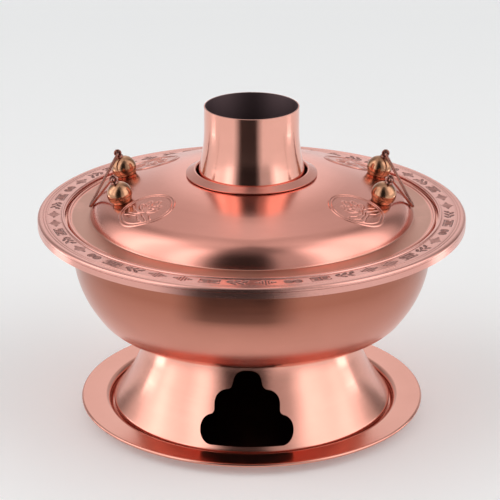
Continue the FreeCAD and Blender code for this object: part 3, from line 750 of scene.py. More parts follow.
@dataclass
class Pedestal:
    """Flared stand with the draught vent at its front."""

    finishes: FinishRack
    fold: float = 3.2
    band: float = 6.4          # upright band at the foot
    flare: Corner = Corner(99.8, 24.5, 120.0)
    waist_up: float = 61.0
    waist_bend: float = 55.0
    seat_width: float = 9.5
    turn: float = 2.2          # degrees that the vent sits left of the front
    row: float = 2.0           # height of a mesh row
    cutter_start: float = 40.0  # from the axis to the near end of the vent's cutter
    cutter_depth: float = 100.0
    vent: tuple[Corner, ...] = (
        Corner(36.4, 10.8, 8.5), Corner(36.4, 28.2, 11.0), Corner(25.6, 31.5, 4.0),
        Corner(25.6, 47.0, 11.0), Corner(12.3, 50.0, 4.5), Corner(9.0, 63.6, 9.0))

    def vent_cutter(self) -> bpy.types.Object:
        """Prism of the vent's cloud outline, through the front wall.

        Returns:
            The cutter, in the pedestal's scale of metres.
        """
        right = list(self.vent)
        left = [Corner(-corner.across, corner.up, corner.fillet) for corner in reversed(right)]
        sill = Corner(0.0, self.vent[0].up)
        outline = Profile([sill, *right, *left, sill]).points()[:-1]
        bm = bmesh.new()
        verts = [bm.verts.new((across, -self.cutter_start, up)) for across, up in outline]
        face = bm.faces.new(verts)
        far = new_verts(bmesh.ops.extrude_face_region(bm, geom=[face])["geom"])
        bmesh.ops.translate(bm, vec=(0, -self.cutter_depth, 0), verts=far)
        aside = Matrix.Rotation(-math.radians(self.turn), 3, "Z")
        bmesh.ops.rotate(bm, cent=(0, 0, 0), matrix=aside, verts=bm.verts)
        bmesh.ops.remove_doubles(bm, verts=bm.verts, dist=WELD)
        bmesh.ops.recalc_face_normals(bm, faces=bm.faces)
        return finish_mesh(bm, "vent_cutter")

    def build(self) -> None:
        """Make the foot hoop, the stand and the seat."""
        foot, stand, seat = NodeSize("pedestal_foot"), NodeSize("pedestal"), NodeSize("pedestal_seat")
        neck = seat.radius
        hoop = Profile.through((foot.radius, foot.low), (foot.radius, foot.high))
        dress(spun_piece("pedestal_hoop", SheetSection(hoop, SHEET, 3.0, 0.8)), self.finishes.body, "pot",
              "body_copper", "pedestal_foot")
        path = Profile([Corner(foot.radius, stand.low), Corner(foot.radius, foot.low + self.band, self.fold),
                        self.flare, Corner(neck, self.waist_up, self.waist_bend), Corner(neck, stand.high)])
        piece = spun_piece("pedestal_stand", SheetSection(path, SHEET, self.row, 1.0))
        cut_away(piece, self.vent_cutter())
        dress(piece, self.finishes.body, "pot", "body_copper", "pedestal")
        ring = Profile.through((neck, seat.low), (neck, seat.high, self.fold),
                               (neck - self.seat_width, seat.high))
        dress(spun_piece("pedestal_top_ring", SheetSection(ring, SHEET, 3.0, 1.0)), self.finishes.body, "pot",
              "body_copper", "pedestal_seat")


def cut_away(piece: bpy.types.Object, cutter: bpy.types.Object) -> None:
    """Cut one closed mesh out of another, and delete the cutter.

    Args:
        piece: mesh that is cut.
        cutter: mesh that is taken away.
    """
    modifier = piece.modifiers.new("cut", "BOOLEAN")
    modifier.operation = "DIFFERENCE"
    modifier.solver = "EXACT"
    modifier.object = cutter
    shaped = bpy.data.meshes.new_from_object(piece.evaluated_get(bpy.context.evaluated_depsgraph_get()))
    piece.modifiers.clear()
    before, piece.data = piece.data, shaped
    shaped.name = piece.name
    bpy.data.meshes.remove(before)
    bpy.data.objects.remove(cutter)
    shaped.shade_smooth()
    shaped.set_sharp_from_angle(angle=SHARP)


# ------------------------------------------------------------------ bowl, rim and fire tube
@dataclass
class Bowl:
    """Ring-shaped broth bowl and the stepped ring that carries the lid."""

    finishes: FinishRack
    collar_bend: float = 3.0
    collar_height: float = 8.0
    heel: Corner = Corner(118.6, 78.0, 22.0)
    belly: Corner = Corner(139.6, 108.0, 80.0)
    top_band: float = 2.9
    top_bend: float = 20.0
    ledge_bend: float = 1.6
    ledge_width: float = 3.7
    lip_width: float = 10.0

    def build(self) -> None:
        """Make the bowl and its lid seat."""
        bowl, seat, drum = NodeSize("bowl"), NodeSize("lid_seat"), NodeSize("firebox")
        hole = drum.radius + SOLDER_GAP
        path = Profile([Corner(hole, bowl.low + self.collar_height), Corner(hole, bowl.low, self.collar_bend),
                        self.heel, self.belly, Corner(bowl.radius, bowl.high - self.top_band, self.top_bend),
                        Corner(bowl.radius, bowl.high)])
        dress(spun_piece("broth_bowl", SheetSection(path, SHEET, 6.0)), self.finishes.bowl, "pot",
              "body_copper", "bowl")
        lip = seat.radius - self.lip_width
        path = Profile.through((bowl.radius - SHEET, seat.low),
                               (bowl.radius + self.ledge_width, seat.low, self.ledge_bend),
                               (lip, seat.high - SHEET, self.ledge_bend), (seat.radius, seat.high - SHEET))
        dress(spun_piece("lid_seat_ring", SheetSection(path, SHEET, 5.0)), self.finishes.body, "pot",
              "body_copper", "lid_seat")


class Motif(Enum):
    """Small traditional figures of the rim's fret band."""

    STROKES = "strokes"
    FRET = "fret"
    SPRIG = "sprig"
    SCROLL = "scroll"


@dataclass
class FretBand:
    """Band of pressed figures round the rim: strokes, square frets, leaf sprigs and scrolls."""

    inner: float
    outer: float
    top: float
    under: float
    depth: float = 0.34
    cells: int = 48
    rows: int = 20
    steps: int = 2240
    line: float = 0.42         # half width of a pressed line
    order: tuple[Motif, ...] = (Motif.STROKES, Motif.STROKES, Motif.FRET, Motif.SPRIG,
                                Motif.STROKES, Motif.SCROLL, Motif.FRET, Motif.SPRIG)

    def pressed(self, angle: float, radius: float) -> float:
        """How deep the pattern is pressed at a place, from 0 to 1."""
        turn = (angle / FULL_TURN) % 1.0 * self.cells
        kind = self.order[int(turn) % len(self.order)]
        middle = (self.inner + self.outer) / 2
        across = (turn % 1.0 - 0.5) * FULL_TURN * middle / self.cells
        up = radius - middle
        distance = {Motif.STROKES: self.strokes, Motif.FRET: self.fret,
                    Motif.SPRIG: self.sprig, Motif.SCROLL: self.scroll}[kind](across, up)
        return 1.0 - smooth_step(self.line * 0.55, self.line * 1.35, distance)

    @staticmethod
    def bar(across: float, up: float, half_width: float, half_height: float) -> float:
        """Distance outside a filled upright bar."""
        return math.hypot(max(abs(across) - half_width, 0.0), max(abs(up) - half_height, 0.0))

    def strokes(self, across: float, up: float) -> float:
        """Distance from five short strokes that grow towards the middle, with a diamond at each end."""
        best = math.inf
        for place, height in ((0.0, 4.2), (-2.3, 3.0), (2.3, 3.0), (-4.5, 1.3), (4.5, 1.3)):
            best = min(best, self.bar(across - place, up, 0.12, height))
        for place in (-6.6, 6.6):
            best = min(best, max(abs(across - place) + abs(up) - 0.7, 0.0))
        return best

    def fret(self, across: float, up: float) -> float:
        """Distance from two facing square spirals."""
        x = abs(across) - 3.9
        edge = max(abs(x), abs(up))
        rings = min(abs(edge - size) for size in (3.4, 1.75)) if edge > 0.9 else 0.0
        gap = self.bar(x - 2.5, up - 1.1, 0.85, 0.15)
        return rings if gap > 0.75 else max(rings, 1.0)

    def sprig(self, across: float, up: float) -> float:
        """Distance from a wavy stem with leaves on both sides."""
        stem = abs(up - 0.8 * math.sin(across * 0.75)) if abs(across) < 7.4 else math.inf
        best = stem
        for index in range(-2, 3):
            lean = 1 if index % 2 else -1
            x, y = across - index * 2.9, up - lean * 2.1
            slanted = (x * 0.82 + y * 0.57 * lean, -x * 0.57 * lean + y * 0.82)
            leaf = math.hypot(slanted[0] / 1.9, slanted[1] / 0.75)
            best = min(best, abs(leaf - 1.0) * 0.75)
        return best

    def scroll(self, across: float, up: float) -> float:
        """Distance from a curl that winds in from both sides."""
        best = math.inf
        for side in (-1, 1):
            x, y = across * side - 3.4, up
            radius = math.hypot(x, y)
            angle = math.atan2(y, x * side)
            turns = (radius - 0.34 * angle / math.pi * 2) % 1.36
            best = min(best, min(turns, 1.36 - turns) if radius < 3.5 else math.inf)
        return min(best, self.bar(across, up, 0.2, 1.4))

    def build(self, finish: bpy.types.Material) -> None:
        """Turn the band and press its pattern.

        Args:
            finish: the rim's material.
        """
        bm = bmesh.new()
        radii = [self.inner + (self.outer - self.inner) * row / self.rows for row in range(self.rows + 1)]
        outline = [(radius, self.top) for radius in radii]
        outline += [(self.outer, self.under), (self.inner, self.under)]
        add_turned(bm, outline, steps=self.steps)
        layer = bm.verts.layers.float.new(PRESSED)
        margin = (self.outer - self.inner) / self.rows
        for vert in bm.verts:
            radius = math.hypot(vert.co.x, vert.co.y)
            if vert.co.z < self.top - WELD or not self.inner + margin / 2 < radius < self.outer - margin / 2:
                continue
            share = self.pressed(math.atan2(vert.co.y, vert.co.x), radius)
            vert.co.z -= self.depth * share
            # the same share darkens the pressed line in the material: painted shade in the recess
            vert[layer] = share
        dress(finish_mesh(bm, "rim_fret_band"), finish, "pot", "rim_copper")


@dataclass
class Rim:
    """Wide rim: rib, fret band, two turned grooves, rounded bend and turned-down edge."""

    finishes: FinishRack
    lip_bend: float = 2.2
    opening: float = 148.4
    face: float = 166.4        # top of the flat ring; the rib stands above it
    rib: tuple[Corner, ...] = (Corner(149.2, 0.0, 0.25), Corner(149.55, 0.9, 0.55),
                               Corner(150.85, 0.9, 0.55), Corner(151.2, 0.0, 0.25))
    band_inner: float = 152.0
    band_outer: float = 162.0
    band_bed: float = 0.6      # depth of the bed that the fret band lies in
    grooves: tuple[float, ...] = (163.5, 165.5)
    groove_half: float = 0.45
    groove_depth: float = 0.32
    steps: int = 544

    def top_path(self, radius: float, low: float) -> Profile:
        """Visible side of the ring, from its opening to the foot of its bend."""
        def level(across: float, drop: float = 0.0, fillet: float = 0.0) -> Corner:
            """Corner at a drop below the flat of the ring."""
            return Corner(across, self.face - drop, fillet)

        corners = [level(self.opening)]
        corners += [Corner(corner.across, self.face + corner.up, corner.fillet) for corner in self.rib]
        corners += [level(self.band_inner - 0.1), level(self.band_inner - 0.1, self.band_bed),
                    level(self.band_outer + 0.1, self.band_bed), level(self.band_outer + 0.1)]
        for middle in self.grooves:
            corners += [level(middle - self.groove_half, 0.0, 0.12),
                        level(middle - 0.12, self.groove_depth, 0.1),
                        level(middle + 0.12, self.groove_depth, 0.1),
                        level(middle + self.groove_half, 0.0, 0.12)]
        corners += [level(radius, 0.0, self.lip_bend), Corner(radius, low)]
        return Profile(corners)

    def build(self) -> None:
        """Make the ring, its fret band and its edge."""
        ring, edge = NodeSize("rim_ring"), NodeSize("rim_edge")
        face = self.top_path(ring.radius, ring.low).points(5.0)
        back = Profile.through((self.opening, self.face - SHEET),
                               (ring.radius - SHEET, self.face - SHEET, self.lip_bend - SHEET),
                               (ring.radius - SHEET, ring.low)).points(5.0)
        bm = bmesh.new()
        add_turned(bm, face + back[::-1], steps=self.steps)
        dress(finish_mesh(bm, "rim_plate"), self.finishes.rim, "pot", "rim_copper", "rim_ring")
        FretBand(self.band_inner, self.band_outer, self.face - 0.04,
                 self.face - self.band_bed - 0.02).build(self.finishes.rim)
        path = Profile.through((edge.radius, edge.high), (edge.radius, edge.low))
        dress(spun_piece("rim_turned_edge", SheetSection(path, -SHEET, 3.0), self.steps), self.finishes.rim,
              "pot", "rim_copper", "rim_edge")


@dataclass
class FireTube:
    """Charcoal drum, its drawn-in top, the chimney, and the grate on its lugs."""

    finishes: FinishRack
    shoulder_up: float = 116.0
    shoulder_bend: float = 30.0
    neck_up: float = 156.0
    neck_bend: float = 14.0
    bend_up: float = 222.0
    bend: float = 120.0
    flare: float = 0.223
    mouth: float = 37.4

    def build(self) -> None:
        """Make the tubes and give the carried-over fittings their finishes."""
        drum, cone, pipe = NodeSize("firebox"), NodeSize("firebox_cone"), NodeSize("chimney")
        path = Profile.through((drum.radius, drum.low), (drum.radius, drum.high))
        dress(spun_piece("charcoal_drum", SheetSection(path, SHEET, 6.0, 1.0)), self.finishes.body, "pot",
              "body_copper", "firebox")
        neck = pipe.radius + SOLDER_GAP + SHEET
        path = Profile.through((cone.radius, cone.low), (cone.radius, self.shoulder_up, self.shoulder_bend),
                               (neck, self.neck_up, self.neck_bend),
                               (neck - self.flare * (cone.high - self.neck_up), cone.high))
        dress(spun_piece("drum_cone", SheetSection(path, SHEET, 6.0, 1.0)), self.finishes.body, "pot",
              "body_copper", "firebox_cone")
        path = Profile.through((pipe.radius, pipe.low), (self.mouth, self.bend_up, self.bend),
                               (self.mouth, pipe.high))
        dress(spun_piece("chimney_pipe", SheetSection(path, SHEET, 4.0, 1.0)), self.finishes.chimney, "pot",
              "chimney_copper", "chimney")
        keep_node("grate", self.finishes.iron)
        keep_node("grate_lugs", self.finishes.steel)


def keep_node(node: str, finish: bpy.types.Material) -> None:
    """Give a CAD node that stays in view its finish."""
    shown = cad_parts[node]
    for slot in shown.material_slots:
        slot.material = finish
    LOG.info("%s keeps its CAD shape", node)


# ------------------------------------------------------------------ lid
@dataclass
class DomeShape:
    """Sizes of the lid's dome that the knobs, bails and medallions stand on."""

    hole: float = 45.2
    hole_up: float = 197.22
    break_radius: float = 70.0
    break_up: float = 195.5
    break_bend: float = 150.0
    shoulder_radius: float = 123.9
    shoulder_up: float = 179.8
    shoulder_bend: float = 25.0
    foot_radius: float = 128.2
    foot_up: float = 164.6

    @property
    def slope(self) -> float:
        """Fall of the dome's main run per millimetre outwards."""
        return (self.break_up - self.shoulder_up) / (self.shoulder_radius - self.break_radius)

    def height(self, radius: float) -> float:
        """Height of the dome's visible side on its main run."""
        return self.break_up - self.slope * (radius - self.break_radius)

    def crown_path(self, foot_bend: float = 0.0) -> list[Corner]:
        """Corners from the hole over the shoulder to the foot of the wall."""
        return [Corner(self.hole, self.hole_up), Corner(self.break_radius, self.break_up, self.break_bend),
                Corner(self.shoulder_radius, self.shoulder_up, self.shoulder_bend),
                Corner(self.foot_radius, self.foot_up, foot_bend)]

    @cached_property
    def crown(self) -> list[Point]:
        """Points of the visible side from the hole to the foot of the wall."""
        return Profile(self.crown_path()).points(1.0)

    @cached_property
    def shoulder_centre(self) -> Point:
        """Radius and height of the middle of the arc that rounds the shoulder."""
        inward = unit((self.break_radius, self.break_up), (self.shoulder_radius, self.shoulder_up))
        down = unit((self.shoulder_radius, self.shoulder_up), (self.foot_radius, self.foot_up))
        reach = self.shoulder_bend * math.tan(math.acos(inward[0] * down[0] + inward[1] * down[1]) / 2)
        return (self.shoulder_radius - inward[0] * reach + inward[1] * self.shoulder_bend,
                self.shoulder_up - inward[1] * reach - inward[0] * self.shoulder_bend)

    def face_height(self, radius: float) -> float:
        """Height of the visible side anywhere between the hole and the wall, its bends rounded."""
        after = bisect.bisect_left([point[0] for point in self.crown], radius)
        start, end = self.crown[max(after - 1, 0)], self.crown[min(after, len(self.crown) - 1)]
        if end[0] <= start[0]:
            return self.height(radius)
        return start[1] + (end[1] - start[1]) * (radius - start[0]) / (end[0] - start[0])


@dataclass
class Medallion:
    """Raised round emblem on the dome: a lotus over three lines of water, inside two rings."""

    dome: DomeShape
    centre: Point
    outwards: float            # direction of its top, as an angle round Z
    radius: float = 22.4
    rise: float = 0.5
    line: float = 0.5          # half width of a raised line
    rings: Point = (1.1, 3.4)  # edge rings, measured inwards from the edge
    petals: tuple[Point, ...] = ((0.0, 14.0), (0.62, 12.4), (-0.62, 12.4), (1.15, 11.0), (-1.15, 11.0))
    backing: float = 0.3       # thickness of the disc before it is laid on
    rows: int = 84
    steps: int = 320

    def nearest_line(self, x: float, y: float) -> float:
        """Distance from the emblem's lines, measured in its own plane."""
        rho = math.hypot(x, y)
        best = min(abs(rho - self.radius + self.rings[0]), abs(rho - self.radius + self.rings[1]) + 0.15)
        if rho > self.radius - 4.2:
            return best
        for row in range(3):
            swell = 1.5 * math.sin(x * 0.30 + 0.7 * row) + 0.4 * math.sin(x * 0.75)
            best = min(best, abs(y + 5.2 + 3.4 * row - swell) + 0.05)
        for tilt, length in self.petals:
            up = y + 2.0
            along = x * math.sin(tilt) + up * math.cos(tilt)
            aside = x * math.cos(tilt) - up * math.sin(tilt)
            petal = math.hypot((along - length / 2) / (length / 2), aside / (length * 0.25))
            best = min(best, abs(petal - 1.0) * length * 0.25)
        return best

    def build(self, name: str, finish: bpy.types.Material) -> None:
        """Turn a fine disc, lay it on the dome and raise its lines.

        Args:
            name: name of the piece.
            finish: the lid's material.
        """
        bm = bmesh.new()
        top = [(self.radius * row / self.rows, 0.0) for row in range(self.rows + 1)]
        under = [(self.radius, -self.backing), (0.0, -self.backing)]
        add_turned(bm, top + under, steps=self.steps, closed=False)
        layer = bm.verts.layers.float.new(PRESSED)
        turn = Matrix.Rotation(self.outwards - math.pi / 2, 2)
        for vert in bm.verts:
            flat = Vector((vert.co.x, vert.co.y))
            rho = flat.length
            sunk = vert.co.z < -WELD
            away = smooth_step(self.line * 0.5, self.line * 1.7, self.nearest_line(*flat))
            share = 0.0 if sunk else 1.0 - away
            placed = turn @ flat + Vector(self.centre)
            surface = self.dome.face_height(placed.length)
            rim = smooth_step(0.0, 0.5, self.radius - rho)
            ground = -0.25 if sunk else 0.03 * rim - 0.06 * (1 - rim)
            vert.co = (placed.x, placed.y, surface + ground + self.rise * share * rim)
            # the ground between the raised lines gets a painted-shade mark, so the lines stand lighter
            vert[layer] = 0.0 if sunk else 0.22 * rim * (1.0 - share)
        bmesh.ops.recalc_face_normals(bm, faces=bm.faces)
        dress(finish_mesh(bm, name), finish, "lid", "lid_copper")


@dataclass
class Lid:
    """Lift-off lid: dome with a step, flat beaded flange, collar and four medallions."""

    finishes: FinishRack
    dome: DomeShape
    step_bend: float = 1.3
    bead: float = 1.3
    bead_drop: float = 0.4     # of the bead's middle below the flange
    collar_sheet: float = 1.0
    collar_bend: float = 1.2
    collar_edge_up: float = 198.2
    collar_top_up: float = 202.2
    dark_tone: float = 0.8       # how dark the painted shade in the corner between the wall and the flange is
    medallion_reach: Point = (80.6, 56.4)

    def build(self) -> None:
        """Make the dome, its collar and its medallions."""
        shell, collar = NodeSize("lid_dome"), NodeSize("lid_collar")
        edge = shell.radius - self.bead
        bead_up = NodeSize("lid_seat").low + SHEET + REST_GAP + self.bead
        flange = bead_up + self.bead_drop
        path = Profile([*self.dome.crown_path(self.step_bend), Corner(edge, flange)])
        points, marks = SheetSection(path, -SHEET, 4.0).outline()
        foot = self.dome.foot_radius

        def corner_shade_mark(mark: float, radius: float, up: float) -> float:
            """Mark of a point, with painted shade deeper in the corner between the wall and the flange."""
            if up <= flange - WELD:
                return mark
            corner = smooth_step(foot - 1.6, foot + 1.0, radius) * smooth_step(edge, edge - 2.5, radius)
            return max(mark, self.dark_tone * corner)

        marks = [corner_shade_mark(mark, *point) for mark, point in zip(marks, points)]
        bm = bmesh.new()
        add_turned(bm, points, marks)
        add_bead(bm, edge, bead_up, self.bead)
        dress(finish_mesh(bm, "lid_shell"), self.finishes.lid, "lid", "lid_copper", "lid_dome")
        bore = self.dome.hole - SOLDER_GAP - self.collar_sheet
        path = Profile.through((collar.radius, self.collar_edge_up),
                               (bore, self.collar_top_up, self.collar_bend),
                               (bore, collar.low))
        dress(spun_piece("lid_collar_ring", SheetSection(path, self.collar_sheet, 3.0)), self.finishes.lid,
              "lid", "lid_copper", "lid_collar")
        across, along = self.medallion_reach
        for side in Side:
            for end in End:
                centre = (side.value * across, end.value * along)
                Medallion(self.dome, centre, math.atan2(-centre[1], -centre[0])).build(
                    f"{side.name.lower()}_{end.name.lower()}_medallion", self.finishes.lid)


# ------------------------------------------------------------------ knobs and bails
@dataclass
class Post:
    """Leaning axis that a ball knob and its eye bolt stand on."""

    dome: DomeShape
    side: Side
    end: End
    inset: float = 21.15
    spread: float = 32.0
    rise: float = 6.5
    tilt: float = math.radians(22.0)

    @property
    def centre(self) -> Vector:
        """Centre of the ball."""
        across = self.dome.shoulder_radius - self.inset
        up = self.dome.height(math.hypot(across, self.spread)) + self.rise
        return Vector((self.side.value * across, self.end.value * self.spread, up))

    @property
    def matrix(self) -> Matrix:
        """Placement of a shape made about Z with the ball's centre at the origin."""
        return Matrix.Translation(self.centre) @ Matrix.Rotation(self.side.value * self.tilt, 4, "Y")

    def at(self, distance: float) -> Vector:
        """Point on the axis above the ball's centre."""
        return self.matrix @ Vector((0, 0, distance))


@dataclass
class BallKnob:
    """Ball of two shells on a foot, held by an eye bolt."""

    finishes: FinishRack
    post: Post
    ball: float = 10.0
    sheet: float = 1.0
    seam: float = 3.2
    seam_step: float = 0.5
    bore: float = 1.7
    foot: float = 6.6
    depth: float = 9.0
    stem: float = 1.6
    button: float = 3.2
    eye_up: float = 13.4
    eye_ring: float = 2.2
    eye_wire: float = 0.95
    neck: float = 1.7          # radius where the button draws in under the eye
    tip: float = 1.1
    tip_rise: float = 0.6      # how far the tip reaches into the eye's ring
    arc_steps: int = 40        # facets of the cap's arc
    steps: int = 96

    @property
    def name(self) -> str:
        """Corner of the lid that the knob stands on."""
        return f"{self.post.side.name.lower()}_{self.post.end.name.lower()}"

    def cap_outline(self) -> tuple[list[Point], list[float]]:
        """Section of the upper shell: outer arc, inner arc."""
        start, end = math.asin(self.bore / self.ball), math.acos(-self.seam / self.ball)
        shares = [step / self.arc_steps for step in range(self.arc_steps + 1)]
        angles = [start + (end - start) * share for share in shares]
        outer = [(self.ball * math.sin(angle), self.ball * math.cos(angle)) for angle in angles]
        outer[-1] = (outer[-1][0] - 0.12, outer[-1][1])
        inside = self.ball - self.sheet
        inner = [(inside * math.sin(angle), inside * math.cos(angle)) for angle in reversed(angles)]
        inner[0] = (inner[0][0], -self.seam)
        # darker round the bolt's button and on the inside as painted shade, and at the seam as a dark joint
        marks = [0.55 * smooth_step(0.25, 0.0, share) + 0.6 * smooth_step(0.94, 1.0, share)
                 for share in shares]
        return outer + inner, marks + [1.0] * len(inner)

    def cup_outline(self) -> tuple[list[Point], list[float]]:
        """Section of the lower shell, from the dome to the seam."""
        top = -self.seam - SOLDER_GAP
        seam = math.sqrt(self.ball ** 2 - self.seam ** 2) - self.seam_step
        path = Profile.through((self.foot - self.sheet, -self.depth), (self.foot, -self.depth),
                               (seam, top, 0.4), (seam - self.sheet, top))
        points = path.points(0.5)
        # darker at the foot where the cup meets the dome as painted shade, and at the seam as a dark joint
        marks = [max(smooth_step(-5.4, -7.4, up), 0.7 * smooth_step(top - 0.9, top, up)) for _, up in points]
        return points, marks

    def build(self) -> None:
        """Make the cap, the cup and the eye bolt."""
        for part, (points, marks) in (("cap", self.cap_outline()), ("cup", self.cup_outline())):
            bm = bmesh.new()
            add_turned(bm, points, marks, self.steps)
            bmesh.ops.transform(bm, matrix=self.post.matrix, verts=bm.verts)
            if part == "cup":
                self.trim_foot(bm)
            piece = finish_mesh(bm, f"{self.name}_ball_{part}")
            dress(piece, self.finishes.knob, "lid", "knob_copper", f"{self.name}_knob_{part}")
        dress(self.eye_bolt(), self.finishes.wire, "lid", "wire_copper", f"{self.name}_eye_bolt")

    def trim_foot(self, bm: bmesh.types.BMesh) -> None:
        """Raise what lies below the dome's surface, so the foot follows the slope."""
        dome = self.post.dome
        for vert in bm.verts:
            floor = dome.height(math.hypot(vert.co.x, vert.co.y)) + SOLDER_GAP * math.hypot(1, dome.slope)
            vert.co.z = max(vert.co.z, floor)

    def eye_bolt(self) -> bpy.types.Object:
        """Stem, button and ring of the eye bolt."""
        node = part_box(f"{self.name}_eye_bolt")[0].z / MM
        low = (node - self.post.centre.z) / math.cos(self.post.tilt) + self.stem * math.tan(self.post.tilt)
        rest = math.sqrt(self.ball ** 2 - self.button ** 2) + SOLDER_GAP
        top = self.eye_up - self.eye_ring
        path = Profile.through((0, low), (self.stem, low, 0.3), (self.stem, self.ball + SOLDER_GAP),
                               (self.button, rest), (self.button, top, 0.9), (self.neck, top, 0.5),
                               (self.tip, top + self.tip_rise), (0, top + self.tip_rise))
        bm = bmesh.new()
        add_turned(bm, path.points(), steps=48, closed=False)
        ring = bmesh.new()
        add_bead(ring, self.eye_ring, 0.0, self.eye_wire, steps=64, sides=20)
        upright = Matrix.Translation((0, 0, self.eye_up)) @ Matrix.Rotation(math.pi / 2, 4, "X")
        bmesh.ops.transform(ring, matrix=upright, verts=ring.verts)
        loose = bpy.data.meshes.new("eye_ring")
        ring.to_mesh(loose)
        ring.free()
        bm.from_mesh(loose)
        bpy.data.meshes.remove(loose)
        bmesh.ops.transform(bm, matrix=self.post.matrix, verts=bm.verts)
        return finish_mesh(bm, f"{self.name}_eye_bolt_ring")


@dataclass
class Bail:
    """V-shaped wire handle that swings in two eye bolts."""

    finishes: FinishRack
    dome: DomeShape
    side: Side
    wire: float = 1.15
    reach: float = 39.8
    head: float = 1.8
    head_gap: float = 0.6
    shoulder_gap: float = 2.5
    rest_gap: float = 0.6
    bend: float = 3.0
    tip_bend: float = 5.0
    eye_up: float = 13.4
    eye_wire: float = 0.95

    @property
    def pivot(self) -> Vector:
        """Point of the pivot line in the middle of the pair of posts, on the right-hand side."""
        place = Post(self.dome, Side.RIGHT, End.REAR).at(self.eye_up)
        return Vector((place.x, 0, place.z))

    def rest_angle(self) -> float:
        """Angle below the horizontal at which the tip lies on the dome's rounded shoulder."""
        centre, centre_up = self.dome.shoulder_centre
        run, drop = centre - self.pivot.x, self.pivot.z - centre_up
        span = math.hypot(run, drop)
        touch = self.dome.shoulder_bend + self.wire + self.rest_gap
        opening = math.acos((self.reach ** 2 + span ** 2 - touch ** 2) / (2 * self.reach * span))
        return math.atan2(drop, run) - opening

    def build(self) -> None:
        """Bend the wire, upset its ends and hang it in its eyes."""
        spread = Post(self.dome, self.side, End.REAR).spread
        stub = spread + self.eye_wire + self.head_gap + self.head
        shoulder = spread - self.eye_wire - self.shoulder_gap
        half_turn = math.atan2(self.reach, shoulder)
        tip = self.reach + self.tip_bend * (1 / math.cos(half_turn) - 1)
        path = Profile.through((-stub, 0), (-shoulder, 0, self.bend), (0, tip, self.tip_bend),
                               (shoulder, 0, self.bend), (stub, 0))
        angle = self.rest_angle()
        pivot = self.pivot

        def spot(across: float, reach: float) -> Vector:
            """Point of the resting bail, by its place along the pivot line and its reach from it."""
            return Vector((self.side.value * (pivot.x + reach * math.cos(angle)), across,
                           pivot.z - reach * math.sin(angle)))

        bm = bmesh.new()
        add_rod(bm, [spot(*point) for point in path.points(3.0)], self.wire)
        for end in (-stub, stub):
            bmesh.ops.create_uvsphere(bm, u_segments=24, v_segments=16, radius=self.head,
                                      matrix=Matrix.Translation(spot(end, 0.0)))
        name = self.side.name.lower()
        dress(finish_mesh(bm, f"{name}_bail_wire"), self.finishes.wire, f"{name}_bail", "wire_copper",
              f"{name}_bail")


# ------------------------------------------------------------------ studio
@dataclass(frozen=True)
class LightStop:
    """Level of the studio's light towards one bearing, in degrees from the front."""

    bearing: float
    level: float


